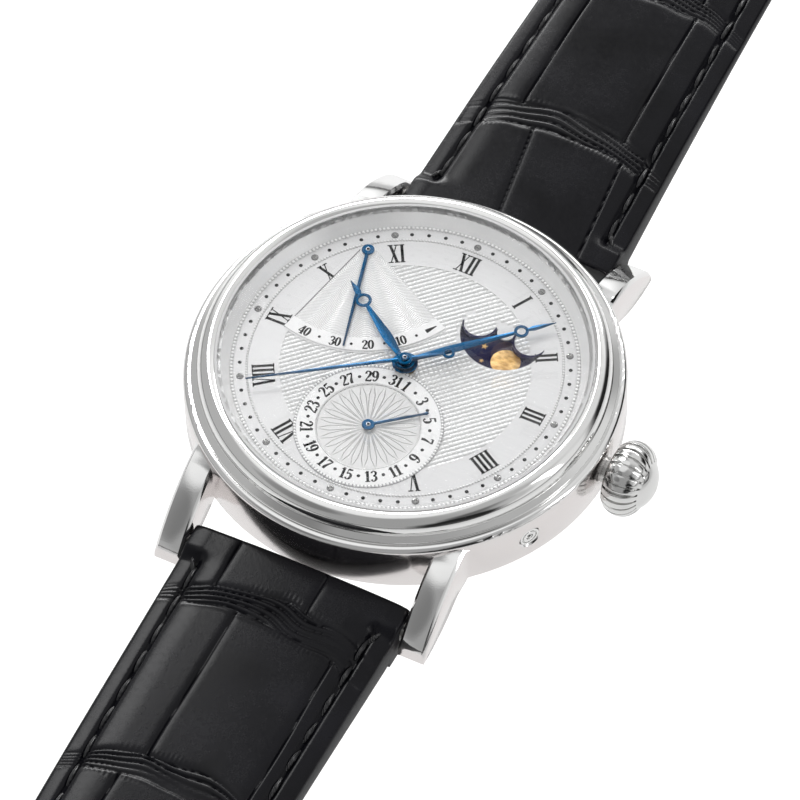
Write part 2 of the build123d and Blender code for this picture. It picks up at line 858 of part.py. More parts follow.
def centre_wheel():
    pitch = centre_teeth * centre_module / 2
    rim_radius = pitch - centre_module - wheel_rim
    outline = crossed(
        wheel_outline(centre_teeth, centre_module), rim_radius, wheel_hub_radius, 5, spoke_width
    )
    solid = slab(outline, centre_level, centre_level + wheel_thickness)
    leaves_low = centre_level + wheel_thickness
    leaves_high = plate_bottom + barrel_flange + 2 * part_gap
    solid += slab(leaf_outline(centre_leaves, barrel_module), leaves_low, leaves_high)
    solid += rod(centre_tube_radius, leaves_high, dial_top)
    return solid - rod(arbor_radius + run_gap, centre_level - overrun, dial_top + overrun)


def third_wheel():
    solid = train_wheel(
        third_teeth,
        third_module,
        third_level,
        third_leaves,
        centre_module,
        centre_level - part_gap / 2,
        centre_level + wheel_thickness + part_gap / 2,
        5,
    )
    return Pos(third_x, third_y, 0) * solid


def fourth_wheel():
    solid = train_wheel(
        fourth_teeth,
        fourth_module,
        fourth_level,
        fourth_leaves,
        third_module,
        fourth_level + wheel_thickness,
        third_level + wheel_thickness + part_gap,
        4,
    )
    seconds_top = dial_top + seconds_hand_height + hand_thickness
    return solid + rod(arbor_radius, plate_bottom, seconds_top)


def escape_wheel():
    step = 360 / escape_teeth
    root = escape_radius * 0.8
    points = []
    for tooth in range(escape_teeth):
        angle = tooth * step
        points.append(polar(root, angle + step * 0.3))
        points.append(polar(escape_radius, angle + step * 0.86))
        points.append(polar(escape_radius * 0.97, angle + step))
        points.append(polar(root, angle + step * 0.95))
    outline = make_face(Polyline(*points, close=True))
    outline = crossed(outline, root - wheel_rim / 2, wheel_hub_radius * 0.7, 4, spoke_width * 0.7)
    solid = slab(outline, third_level, third_level + wheel_thickness)
    leaves = leaf_outline(escape_leaves, fourth_module)
    solid += slab(leaves, fourth_level - part_gap / 2, third_level)
    solid += rod(arbor_radius, bridge_top - pivot_depth, plate_bottom + pivot_depth)
    return Pos(escape_x, escape_y, 0) * solid


def pallet_fork():
    # drawn with the escape wheel on the left and the balance on the right
    shape = Circle(fork_width)
    for side in (1, -1):
        stone_x, stone_y = polar(escape_radius + stone_gap + stone_length / 2, side * escape_span)
        stone_x -= pallet_distance
        stone = Pos(stone_x, stone_y) * Rot(0, 0, side * escape_span) * Rectangle(stone_length, stone_width)
        reach = math.hypot(stone_x, stone_y)
        bearing = math.degrees(math.atan2(stone_y, stone_x))
        shape += stone + Rot(0, 0, bearing) * Pos(reach / 2, 0) * Rectangle(reach, fork_width)
    horn = fork_length - roller_radius / 2
    shape += Pos(horn / 2, 0) * Rectangle(horn, fork_width)
    slot_start = fork_length - roller_radius - stone_width
    shape += Pos((slot_start + horn) / 2, 0) * Rectangle(horn - slot_start, 2 * fork_width)
    shape -= Pos((slot_start + horn) / 2 + stone_width / 2, 0) * Rectangle(horn - slot_start, fork_width)
    solid = slab(shape, third_level, third_level + wheel_thickness)
    solid += rod(arbor_radius, bridge_top - pivot_depth / 2, plate_bottom + pivot_depth)
    return Pos(pallet_x, pallet_y, 0) * Rot(0, 0, balance_angle) * solid


def balance_wheel():
    outline = crossed(Circle(balance_radius), balance_radius - balance_rim, wheel_hub_radius, 3, spoke_width)
    solid = slab(outline, balance_bottom, balance_bottom + balance_height)
    solid += rod(arbor_radius, bridge_bottom + pivot_depth / 2, plate_bottom + pivot_depth)
    hairspring_low = bridge_bottom + cock_thickness + part_gap
    solid += rod(staff_collar_radius, hairspring_low, balance_bottom)
    roller_low = third_level + wheel_thickness + part_gap
    solid += rod(roller_radius, roller_low, roller_low + roller_thickness)
    pin_x, pin_y = polar(roller_radius * 0.8, balance_angle + 180)
    solid += rod(arbor_radius / 2, third_level, roller_low, pin_x, pin_y)
    return Pos(balance_x, balance_y, 0) * solid


def spiral(inner, outer, turns, strip):
    steps = 14
    near = []
    far = []
    for index in range(turns * steps + 1):
        share = index / (turns * steps)
        radius = inner + (outer - inner - strip) * share
        angle = index * 360 / steps
        near.append(polar(radius, angle))
        far.append(polar(radius + strip, angle))
    return make_face(Polyline(*near, *reversed(far), close=True))


def hairspring():
    low = bridge_bottom + cock_thickness + part_gap
    inner = staff_collar_radius + run_gap
    coil = spiral(inner, hairspring_radius, hairspring_turns, hairspring_strip)
    solid = slab(coil, low, low + hairspring_height)
    return Pos(balance_x, balance_y, 0) * Rot(0, 0, balance_angle) * solid


def mainspring_barrel():
    body_radius = barrel_teeth * barrel_module / 2 - 2 * barrel_module
    solid = slab(wheel_outline(barrel_teeth, barrel_module), barrel_bottom, barrel_bottom + barrel_flange)
    solid += rod(body_radius, barrel_bottom, barrel_top)
    hollow = rod(body_radius - barrel_wall, barrel_bottom + barrel_flange, barrel_top - barrel_flange)
    solid -= hollow + rod(barrel_arbor_radius + run_gap, barrel_bottom - overrun, barrel_top + overrun)
    return Pos(barrel_x, barrel_y, 0) * solid


def mainspring():
    body_radius = barrel_teeth * barrel_module / 2 - 2 * barrel_module - barrel_wall
    low = barrel_bottom + barrel_flange + part_gap / 2
    high = barrel_top - barrel_flange - part_gap / 2
    coil = spiral(barrel_core_radius + run_gap, body_radius, mainspring_turns, mainspring_strip)
    return Pos(barrel_x, barrel_y, 0) * slab(coil, low, high)


def barrel_arbor():
    low = barrel_bottom + barrel_flange + part_gap / 2
    high = barrel_top - barrel_flange - part_gap / 2
    solid = rod(barrel_arbor_radius, winding_bottom + winding_wheel_thickness, barrel_top + pivot_depth / 2)
    solid += rod(barrel_core_radius, low, high)
    return Pos(barrel_x, barrel_y, 0) * solid


def ratchet_wheel():
    outline = wheel_outline(ratchet_teeth, winding_module)
    reach = ratchet_teeth * winding_module / 4
    for turn in range(5):
        outline -= Rot(0, 0, turn * 72) * Pos(reach, 0) * Circle(barrel_arbor_radius)
    solid = slab(outline, winding_bottom, winding_bottom + winding_wheel_thickness)
    return Pos(barrel_x, barrel_y, 0) * solid


def crown_wheel():
    outline = wheel_outline(crown_wheel_teeth, winding_module)
    solid = slab(outline, winding_bottom, winding_bottom + winding_wheel_thickness)
    contrate_top = stem_height - pinion_radius - part_gap / 2
    solid += rod(contrate_hub_radius, winding_bottom, contrate_top)
    module = 2 * contrate_radius / (contrate_teeth + 2 * addendum_share)
    face_teeth = wheel_outline(contrate_teeth, module)
    solid += slab(face_teeth, contrate_top - winding_wheel_thickness, contrate_top)
    return Pos(crown_wheel_x, 0, 0) * solid


def along_stem(sketch, start, length):
    return Pos(start, 0, stem_height) * Rot(0, 90, 0) * extrude(sketch, length)


def winding_pinion():
    module = 2 * pinion_radius / (pinion_teeth + 2 * addendum_share)
    outline = leaf_outline(pinion_teeth, module) - Circle(stem_radius + run_gap)
    start = crown_wheel_x + contrate_radius - pinion_length / 2
    return along_stem(outline, start, pinion_length)


def sliding_clutch():
    end = crown_wheel_x + contrate_radius - pinion_length / 2 - part_gap / 2
    start = end - clutch_length
    bore = Circle(stem_radius + run_gap)
    solid = along_stem(Circle(clutch_radius) - bore, start, clutch_length)
    groove = Circle(clutch_radius + part_gap) - Circle(clutch_groove_radius)
    return solid - along_stem(groove, start + clutch_length / 3, clutch_length / 4)


def winding_stem():
    return radial_rod(stem_radius, stem_start, crown_inner + crown_hollow_depth, stem_height)


def crown_tube():
    outer = radial_rod(tube_outer, tube_start, tube_end, stem_height)
    return outer - radial_rod(tube_bore, tube_start - overrun, tube_end + overrun, stem_height)


def crown_side(depth):
    # the barrel-shaped line of the fluted part, or one that lies deeper
    ends = []
    for share, radius in (
        (crown_collar_share, crown_collar_radius),
        (crown_middle_share, crown_radius),
        (crown_brow_share, crown_brow_radius),
    ):
        ends.append((crown_inner + crown_length * share, radius - depth))
    return ends


def crown():
    end = crown_inner + crown_length
    cap_start = crown_inner + crown_length * crown_cap_share
    rise = end - cap_start
    curve = (crown_cap_radius ** 2 + rise ** 2) / (2 * rise)
    half_angle = math.asin(crown_cap_radius / curve) / 2
    cap = (end - curve * (1 - math.cos(half_angle)), curve * math.sin(half_angle))
    collar, middle, brow = crown_side(0)
    lines = [
        Line((crown_inner, 0), (crown_inner, crown_neck_radius)),
        Line((crown_inner, crown_neck_radius), collar),
        ThreePointArc(collar, middle, brow),
        Line(brow, (cap_start, crown_cap_radius)),
        ThreePointArc((cap_start, crown_cap_radius), cap, (end, 0)),
        Line((end, 0), (crown_inner, 0)),
    ]
    solid = revolve(make_face(lines), Axis.X)
    low = crown_side(crown_flute_depth)
    high = crown_side(-crown_flute_depth)
    strip = [
        ThreePointArc(*low),
        Line(low[2], high[2]),
        ThreePointArc(*high[::-1]),
        Line(high[0], low[0]),
    ]
    cutter = revolve(make_face(strip), Axis.X, crown_flute_width)
    for flute in range(crown_flutes):
        solid -= Rot(flute * 360 / crown_flutes, 0, 0) * cutter
    hollow_end = crown_inner + crown_hollow_depth
    solid -= radial_rod(crown_hollow_radius, crown_inner - overrun, hollow_end, 0)
    return Pos(0, 0, stem_height) * solid


def corrector_pusher():
    height = dial_top - corrector_drop
    head_start = corrector_face - corrector_head_length
    solid = radial_rod(corrector_head_radius, head_start, corrector_face, height)
    dimple_start = corrector_face - corrector_dimple_depth
    groove = radial_rod(
        corrector_groove_radius + corrector_groove_width / 2, dimple_start, case_radius, height
    )
    groove -= radial_rod(
        corrector_groove_radius - corrector_groove_width / 2, dimple_start, case_radius, height
    )
    solid -= groove
    solid -= radial_rod(corrector_dimple_radius, dimple_start, case_radius, height)
    solid += radial_rod(corrector_shaft_radius, corrector_shaft_end, head_start, height)
    return Rot(0, 0, corrector_angle) * solid


def movement_holder():
    solid = ring(holder_outer, movement_radius + holder_gap, bridge_top + part_gap, dial_bottom)
    step_height = case_foot + back_neck_height
    solid -= ring(holder_outer + overrun, back_neck_radius - part_gap, 0, step_height)
    hole = 2 * stem_radius
    solid -= radial_rod(hole, movement_radius - overrun, holder_outer + overrun, stem_height)
    shaft_hole = corrector_shaft_radius * 1.5
    height = dial_top - corrector_drop
    return solid - radial_rod(
        shaft_hole, movement_radius - overrun, holder_outer + overrun, height, corrector_angle
    )


def main_plate():
    solid = rod(movement_radius, plate_bottom, plate_top)
    solid -= rod(centre_tube_radius + run_gap, plate_bottom - overrun, plate_top + overrun)
    pocket_top = plate_bottom + barrel_flange + 3 * part_gap
    solid -= rod(centre_leaves * barrel_module, plate_bottom - overrun, pocket_top)
    barrel_pocket = barrel_teeth * barrel_module / 2 + 3 * part_gap
    solid -= rod(barrel_pocket, plate_bottom - overrun, barrel_top + part_gap, barrel_x, barrel_y)
    solid -= rod(barrel_arbor_radius + run_gap, barrel_top, plate_top + overrun, barrel_x, barrel_y)
    slot_end = movement_radius + overrun
    slot_start = crown_wheel_x - contrate_radius + part_gap
    slot_length = slot_end - slot_start
    slot_height = stem_rise + pinion_radius + part_gap
    slot = Pos(slot_start + slot_length / 2, 0, plate_bottom + slot_height / 2)
    solid -= slot * Box(slot_length, 2 * (pinion_radius + part_gap), slot_height)
    solid -= radial_rod(stem_radius + run_gap, stem_start - part_gap, slot_end, stem_height)
    pivots = [(third_x, third_y), (escape_x, escape_y), (pallet_x, pallet_y), (balance_x, balance_y)]
    for x, y in pivots:
        solid -= rod(arbor_radius + run_gap, plate_bottom - overrun, plate_top + overrun, x, y)
    return solid


def calendar_plate():
    solid = rod(movement_radius, plate_top, calendar_top)
    solid += ring(movement_radius, movement_radius - plate_rim, calendar_top, dial_bottom)
    solid -= rod(cannon_radius + run_gap, plate_top - overrun, calendar_top + overrun)
    for x, y in [(date_x, date_y), (reserve_x, reserve_y)]:
        solid -= rod(arbor_radius + run_gap, plate_top - overrun, calendar_top + overrun, x, y)
    solid += rod(arbor_radius, calendar_top, dial_bottom, minute_distance, 0)
    return solid + rod(moon_stud_radius, calendar_top, dial_bottom, moon_x, moon_y)


def along(angle, x, y, sketch):
    return Pos(x, y) * Rot(0, 0, angle) * sketch


def balance_room(extra):
    return Pos(balance_x, balance_y) * Circle(balance_radius + extra)


def cock_outline(extra):
    span = math.hypot(balance_x - cock_foot_x, balance_y - cock_foot_y)
    bearing = math.degrees(math.atan2(balance_y - cock_foot_y, balance_x - cock_foot_x))
    arm = Pos(span / 2, 0) * Rectangle(span, cock_width + 2 * extra)
    head = Pos(span, 0) * Circle(cock_width / 2 + extra)
    return along(bearing, cock_foot_x, cock_foot_y, arm + head + Circle(cock_foot_radius + extra))


def pallet_bridge_outline(extra):
    bar = Rectangle(pallet_bridge_width + 2 * extra, pallet_bridge_length + 2 * extra)
    for side in (1, -1):
        bar += Pos(0, side * pallet_bridge_length / 2) * Circle(pallet_bridge_width / 2 + extra)
    return along(balance_angle, pallet_x, pallet_y, bar)


def corner_area(extra):
    # the part of the plate above and to the right of the centre, with room for the crown wheel
    size = 2 * movement_radius
    middle = movement_radius - bridge_split - extra
    area = Pos(middle, middle) * Rectangle(size, size)
    wheel_room = crown_wheel_teeth * winding_module / 2 + winding_module + bridge_margin
    return area + Pos(crown_wheel_x, 0) * Circle(wheel_room + extra)


def barrel_bridge():
    outline = Circle(movement_radius) & corner_area(0)
    solid = slab(outline, bridge_bottom, bridge_top)
    foot = (Circle(movement_radius) - Circle(bridge_foot_radius)) & corner_area(0)
    stem_room = Pos(movement_radius, 0) * Rectangle(movement_radius, 3 * pinion_radius)
    solid += slab(foot - stem_room, bridge_top, plate_bottom)
    gear_room = 2 * part_gap
    ratchet_room = ratchet_teeth * winding_module / 2 + winding_module + gear_room
    crown_room = crown_wheel_teeth * winding_module / 2 + winding_module + gear_room
    recess_top = winding_bottom + winding_wheel_thickness
    solid -= rod(ratchet_room, bridge_bottom - overrun, recess_top, barrel_x, barrel_y)
    solid -= rod(crown_room, bridge_bottom - overrun, recess_top, crown_wheel_x, 0)
    solid -= rod(barrel_arbor_radius + run_gap, 0, plate_bottom, barrel_x, barrel_y)
    solid -= rod(contrate_hub_radius + run_gap, 0, plate_bottom, crown_wheel_x, 0)
    solid += rod(rotor_post_radius * 1.3, bridge_bottom, recess_top)
    return solid - rod(arbor_radius + run_gap, bridge_top - 2 * pivot_depth, plate_bottom)


def train_bridge():
    outline = Circle(movement_radius) - corner_area(bridge_slit)
    taken = balance_room(2 * part_gap) + cock_outline(bridge_slit) + pallet_bridge_outline(bridge_slit)
    outline -= taken
    whole = outline.faces().sort_by(SortBy.AREA)[-1]
    solid = slab(whole, bridge_bottom, bridge_top)
    solid += slab(whole - Circle(bridge_foot_radius), bridge_top, plate_bottom)
    for x, y in [(third_x, third_y), (escape_x, escape_y)]:
        solid -= rod(arbor_radius + run_gap, 0, plate_bottom, x, y)
    return solid


def balance_cock():
    stud_low = bridge_bottom + cock_thickness
    stud_reach = hairspring_radius + stud_radius
    arm = Pos(stud_reach / 2, 0) * Rectangle(stud_reach, cock_width / 3)
    arm += Pos(stud_reach, 0) * Circle(cock_width / 4)
    outline = cock_outline(0) + along(balance_angle, balance_x, balance_y, arm)
    solid = slab(outline & Circle(movement_radius), bridge_bottom, stud_low)
    foot = Pos(cock_foot_x, cock_foot_y) * Circle(cock_foot_radius)
    solid += slab(foot & Circle(movement_radius), bridge_bottom, plate_bottom)
    solid -= rod(arbor_radius + run_gap, 0, plate_bottom, balance_x, balance_y)
    stud_x, stud_y = polar(stud_reach, balance_angle)
    stud_top = stud_low + part_gap + hairspring_height
    return solid + rod(stud_radius, stud_low, stud_top, balance_x + stud_x, balance_y + stud_y)


def pallet_bridge():
    solid = slab(pallet_bridge_outline(0), bridge_bottom, bridge_top)
    for side in (1, -1):
        foot = Rot(0, 0, balance_angle) * Pos(0, side * pallet_bridge_length / 2, 0)
        solid += Pos(pallet_x, pallet_y, 0) * foot * rod(pallet_bridge_width / 2, bridge_top, plate_bottom)
    return solid - rod(arbor_radius + run_gap, 0, plate_bottom, pallet_x, pallet_y)


def rotor():
    half = Pos(0, -rotor_radius) * Rectangle(2 * rotor_radius, 2 * rotor_radius)
    sector = Circle(rotor_radius) & half
    inner = rotor_radius - rotor_rim
    windows = (Circle(inner) - Circle(rotor_hub_radius)) & half
    for angle in (-10, -60, -120, -170):
        windows -= Rot(0, 0, angle) * Pos(inner / 2, 0) * Rectangle(2 * inner, rotor_rim * 0.7)
    web = sector - windows + Circle(rotor_hub_radius)
    solid = slab(web - Circle(rotor_post_radius + run_gap), rotor_top - rotor_web, rotor_top)
    rim = sector - Circle(inner)
    solid += slab(rim, rotor_bottom, rotor_top)
    hub_low = rotor_bottom + rotor_flange_height * 2 + part_gap
    return solid + ring(rotor_hub_radius, rotor_post_radius + run_gap, hub_low, rotor_top)


def rotor_bearing():
    low = rotor_bottom + rotor_flange_height
    solid = rod(rotor_flange_radius, low, low + rotor_flange_height)
    return solid + rod(rotor_post_radius, low, bridge_bottom)


def case_back_ring():
    neck_top = case_foot + back_neck_height
    lip_inner = back_window_radius - back_lip
    lip_top = back_crystal_thickness + back_lip_height
    solid = turned(
        [
            (back_window_radius, 0),
            (back_foot_radius, 0),
            (back_radius, case_foot - part_gap * 3),
            (back_radius, case_foot),
            (back_thread_radius, case_foot),
            (back_thread_radius, neck_top),
            (back_neck_radius, neck_top),
            (back_neck_radius, case_foot - part_gap * 3),
            (back_hollow_radius, lip_top + part_gap * 3),
            (back_hollow_radius, lip_top),
            (lip_inner, lip_top),
            (lip_inner, back_crystal_thickness),
            (back_window_radius, back_crystal_thickness),
        ]
    )
    for turn in range(key_slots):
        place = Rot(0, 0, turn * 360 / key_slots) * Pos(back_foot_radius, 0, 0)
        solid -= place * Box(key_slot_length, key_slot_width, 2 * key_slot_depth)
    return solid


def back_crystal():
    return rod(back_window_radius, 0, back_crystal_thickness)


def back_gasket():
    outer = back_gasket_radius + back_gasket_width / 2
    inner = back_gasket_radius - back_gasket_width / 2
    return ring(outer, inner, case_foot, case_foot + back_gasket_height)


def bar_tube(side):
    half = lug_inner - bar_end_gap
    tube = Pos(-half, side * bar_y, bar_height) * Rot(0, 90, 0)
    return tube * extrude(Circle(bar_radius) - Circle(bar_bore), 2 * half)


def spring_bar_tubes():
    return Compound(children=[bar_tube(1), bar_tube(-1)])


def spring_bar_pin(side, end):
    reach = lug_inner + pin_reach
    place = Pos(end * reach, side * bar_y, bar_height) * Rot(0, -90 * end, 0)
    return place * extrude(Circle(pin_radius), pin_length)


def strap_lines(length, flat_start, end_bottom, end_thickness):
    # heights of the underside, the padded top and the stitched rim, along the strap
    heel = bar_height - strap_bottom
    full = strap_top + strap_bottom
    bottom = [(0, heel)]
    top = [(-strap_near, heel + full)]
    rim = [(-strap_near, heel + full * rim_shares[0])]
    for share, low, high, edge in zip(curve_shares, curve_bottom_shares, curve_top_shares, rim_shares):
        bottom.append((share * flat_start, heel + low * full))
        top.append((share * flat_start, heel + high * full))
        rim.append((share * flat_start, heel + edge * full))
    bottom.append((flat_start, end_bottom))
    top.append((flat_start, end_bottom + end_thickness))
    rim.append((flat_start, end_bottom + end_thickness * 0.9))
    end = [(length, end_bottom), (length, end_bottom + end_thickness)]
    return bottom, top, rim, end


def side_face(lower, upper, length):
    # closed side view between a lower and an upper line, straight past the curved part
    low_curve = Spline(*[(0, s, z) for s, z in lower], tangents=[(0, 1, 0), (0, 1, 0)])
    top_curve = Spline(*[(0, s, z) for s, z in upper], tangents=[(0, 1, 0), (0, 1, 0)])
    low_end = (0, length, lower[-1][1])
    top_end = (0, length, upper[-1][1])
    lines = [
        low_curve,
        Line((0, *lower[-1]), low_end),
        Line(low_end, top_end),
        Line(top_end, (0, *upper[-1])),
        top_curve,
    ]
    near_top = upper[0]
    near_low = lower[0]
    if near_top[0] < near_low[0]:
        heel_top = (near_top[0], near_low[1] + strap_heel_radius)
        slope = strap_heel_radius * (1 - math.sqrt(0.5))
        lines.append(Line((0, *near_top), (0, *heel_top)))
        lines.append(
            ThreePointArc(
                (0, *heel_top), (0, heel_top[0] + slope, near_low[1] + slope), (0, *near_low)
            )
        )
    else:
        lines.append(Line((0, *near_top), (0, *near_low)))
    return make_face(lines)


def strap_plan(length, end_width, inset, rounded):
    # outline from above: narrows towards its end, which is square or rounded
    near = -strap_near - overrun
    half = strap_width / 2 - inset
    half_end = end_width / 2 - inset
    full = length + (0 if rounded else overrun)
    shape = make_face(
        Polyline((-half, near), (half, near), (half_end, full), (-half_end, full), close=True)
    )
    if rounded:
        centre = length - tail_round
        tail = Pos(0, centre) * Ellipse(half_end, tail_round)
        cut = Pos(0, centre + tail_round) * Rectangle(2 * half, 2 * tail_round)
        shape -= cut - tail
    return shape


def strap_solid(length, flat_start, end_bottom, end_thickness, end_width, rounded):
    bottom, top, rim, end = strap_lines(length, flat_start, end_bottom, end_thickness)
    tall = 2 * (strap_top + strap_bottom)
    layers = []
    for line, inset in ((rim, 0), (top, pad_inset)):
        block = extrude(side_face(bottom, line, length), strap_width / 2 + overrun, dir=(1, 0, 0), both=True)
        outline = slab(strap_plan(length, end_width, inset, rounded), -tall, tall)
        layers.append(block & outline)
    return layers[0] + layers[1]


def lining_zone(length, flat_start, end_bottom, end_thickness, end):
    bottom, top, rim, last = strap_lines(length, flat_start, end_bottom, end_thickness)
    raised = [(s, z + lining_thickness) for s, z in bottom]
    dropped = [(s, z - lining_thickness) for s, z in bottom]
    block = extrude(side_face(dropped, raised, length + overrun), strap_width, dir=(1, 0, 0), both=True)
    room = end - lining_start
    keep = Pos(0, lining_start + room / 2, 0) * Box(2 * strap_width, room, 4 * (strap_top + strap_bottom))
    return block & keep


def along_x(radius, s, z, width):
    return Pos(-width / 2, s, z) * Rot(0, 90, 0) * extrude(Circle(radius), width)


def strap_short_whole():
    solid = strap_solid(
        short_length, short_flat, buckle_strap_bottom, buckle_strap_thickness, buckle_width, False
    )
    half = buckle_strap_thickness / 2
    centre = buckle_strap_bottom + half
    solid += along_x(half, short_length, centre, buckle_width)
    solid -= along_x(bar_radius + strap_fit, 0, bar_height, 2 * strap_width)
    solid -= along_x(buckle_pin_radius + strap_fit, short_length, centre, 2 * strap_width)
    slot_start = short_length - tongue_slot_length
    slot_end = short_length + 2 * half
    slot = Pos(0, (slot_start + slot_end) / 2, centre)
    return solid - slot * Box(tongue_slot_width, slot_end - slot_start, 4 * half)


def strap_short_zone():
    return lining_zone(
        short_length,
        short_flat,
        buckle_strap_bottom,
        buckle_strap_thickness,
        short_length - tongue_slot_length - part_gap,
    )


def strap_long_whole():
    solid = strap_solid(long_length, tail_flat, tail_lift, tail_thickness, buckle_width, True)
    solid -= along_x(bar_radius + strap_fit, 0, bar_height, 2 * strap_width)
    for index in range(strap_holes):
        place = strap_hole_last - index * strap_hole_pitch
        solid -= rod(strap_hole_radius, -overrun, 2 * (strap_top + strap_bottom), 0, place)
    return solid


def strap_long_zone():
    return lining_zone(long_length, tail_flat, tail_lift, tail_thickness, long_length + overrun)


def at_twelve(solid):
    return Pos(0, bar_y, 0) * solid


def at_six(solid):
    return Rot(0, 0, 180) * Pos(0, bar_y, 0) * solid


def keeper(start):
    height = keeper_inner_height + 2 * keeper_wall
    outer = Rectangle(keeper_inner_width + 2 * keeper_side, height)
    shape = fillet(outer.vertices(), keeper_side) - Rectangle(keeper_inner_width, keeper_inner_height)
    middle = buckle_strap_bottom - part_gap - keeper_wall + height / 2
    return Pos(0, start + keeper_width, middle) * Rot(90, 0, 0) * extrude(shape, keeper_width)


def buckle_frame():
    outer_half = buckle_inner / 2 + buckle_arm
    ear = 2 * buckle_pin_radius
    length = buckle_reach + ear
    outer = Pos(0, length / 2 - ear) * Rectangle(2 * outer_half, length)
    far = outer.vertices().group_by(Axis.Y)[-1]
    shape = fillet(far, buckle_round)
    hollow_length = buckle_reach - buckle_bar + ear + overrun
    hollow = Pos(0, hollow_length / 2 - ear - overrun) * Rectangle(buckle_inner, hollow_length)
    hollow = fillet(hollow.vertices().group_by(Axis.Y)[-1], buckle_round - buckle_arm)
    centre = buckle_strap_bottom + buckle_strap_thickness / 2
    low = centre - buckle_height / 2
    solid = Pos(0, short_length, 0) * slab(shape - hollow, low, low + buckle_height)
    solid -= along_x(buckle_pin_radius + run_gap, short_length, centre, 2 * outer_half + overrun)
    notch_end = short_length + buckle_reach + overrun
    notch_start = short_length + buckle_reach - buckle_bar - overrun
    notch = Pos(0, (notch_start + notch_end) / 2, low + buckle_height)
    return solid - notch * Box(tongue_width + 2 * part_gap, notch_end - notch_start, tongue_thickness)


def buckle_pin():
    centre = buckle_strap_bottom + buckle_strap_thickness / 2
    return along_x(buckle_pin_radius, short_length, centre, buckle_inner + 2 * buckle_arm)


def buckle_tongue():
    centre = buckle_strap_bottom + buckle_strap_thickness / 2
    inner = buckle_pin_radius + run_gap
    solid = along_x(inner + loop_wall, short_length, centre, tongue_width)
    low = centre + buckle_height / 2 - tongue_thickness / 2 + run_gap
    arm_length = buckle_reach - buckle_bar / 4
    arm = Pos(0, short_length + arm_length / 2, low + tongue_thickness / 2)
    solid += arm * Box(tongue_width, arm_length, tongue_thickness)
    return solid - along_x(inner, short_length, centre, 2 * tongue_width)


def both_keepers():
    return {
        "fixed_keeper": at_twelve(keeper(fixed_keeper_start)),
        "free_keeper": at_twelve(keeper(free_keeper_start)),
    }


def straps():
    short_whole = strap_short_whole()
    short_zone = strap_short_zone()
    long_whole = strap_long_whole()
    long_zone = strap_long_zone()
    return {
        "strap_short": at_twelve(short_whole - short_zone),
        "strap_short_lining": at_twelve(short_whole & short_zone),
        "strap_long": at_six(long_whole - long_zone),
        "strap_long_lining": at_six(long_whole & long_zone),
    }


def all_parts():
    pieces = [
        case_middle, bezel, front_crystal, crystal_gasket, rehaut_ring, dial, movement_holder,
        case_back_ring, back_crystal, back_gasket, crown_tube, crown, winding_stem, winding_pinion,
        sliding_clutch, crown_wheel, ratchet_wheel, barrel_arbor, mainspring_barrel, mainspring,
        main_plate, calendar_plate, barrel_bridge, train_bridge, pallet_bridge, balance_cock,
        centre_wheel, cannon_pinion, third_wheel, fourth_wheel, escape_wheel, pallet_fork,
        balance_wheel, hairspring, rotor, rotor_bearing, hour_wheel, minute_wheel, date_wheel,
        moon_disc, hour_hand, minute_hand, seconds_hand, date_hand, power_reserve_hand,
        corrector_pusher, spring_bar_tubes,
    ]
    parts = {piece.__name__: piece() for piece in pieces}
    for side, hour in ((1, "12"), (-1, "6")):
        for end, hand in ((1, "right"), (-1, "left")):
            parts[f"spring_bar_pin_{hour}_{hand}"] = spring_bar_pin(side, end)
    parts.update(straps())
    parts.update(both_keepers())
    for piece in (buckle_frame, buckle_tongue, buckle_pin):
        parts[piece.__name__] = at_twelve(piece())
    return parts


os.makedirs("parts", exist_ok=True)
for name, shape in all_parts().items():
    export_step(shape, f"parts/{name}.step")
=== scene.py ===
import math
import bpy
import numpy as np
from mathutils import Matrix, Vector


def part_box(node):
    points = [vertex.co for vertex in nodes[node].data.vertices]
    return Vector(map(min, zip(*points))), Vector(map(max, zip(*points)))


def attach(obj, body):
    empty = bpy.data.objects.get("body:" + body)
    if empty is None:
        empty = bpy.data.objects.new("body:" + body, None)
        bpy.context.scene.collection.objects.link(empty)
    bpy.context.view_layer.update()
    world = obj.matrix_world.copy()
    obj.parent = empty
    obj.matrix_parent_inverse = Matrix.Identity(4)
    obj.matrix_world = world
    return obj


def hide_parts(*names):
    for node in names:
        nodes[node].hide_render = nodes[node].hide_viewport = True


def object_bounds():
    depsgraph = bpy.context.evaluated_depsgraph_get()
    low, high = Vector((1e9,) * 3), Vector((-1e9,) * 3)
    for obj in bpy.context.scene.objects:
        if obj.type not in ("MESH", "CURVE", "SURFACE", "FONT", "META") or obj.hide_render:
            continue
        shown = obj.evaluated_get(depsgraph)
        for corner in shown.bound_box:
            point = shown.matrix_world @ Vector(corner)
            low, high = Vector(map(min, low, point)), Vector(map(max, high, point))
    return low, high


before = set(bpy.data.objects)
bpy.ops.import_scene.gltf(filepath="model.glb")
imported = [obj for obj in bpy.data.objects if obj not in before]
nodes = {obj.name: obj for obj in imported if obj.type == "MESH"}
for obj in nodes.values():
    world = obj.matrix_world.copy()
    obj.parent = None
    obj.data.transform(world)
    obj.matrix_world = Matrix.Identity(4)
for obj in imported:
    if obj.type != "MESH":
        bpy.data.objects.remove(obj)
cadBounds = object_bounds()
scene = bpy.context.scene
mm = 0.001          # the sizes below are in millimetres


# ---- places taken from the frame


def corners(name):
    low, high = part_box(name)
    return np.array(low) / mm, np.array(high) / mm


dialTop = corners("dial")[1][2]
dialCentre = Vector((0, 0, dialTop)) * mm
barY = (corners("spring_bar_pin_12_right")[0][1] + corners("spring_bar_pin_12_right")[1][1]) / 2
barZ = (corners("spring_bar_pin_12_right")[0][2] + corners("spring_bar_pin_12_right")[1][2]) / 2


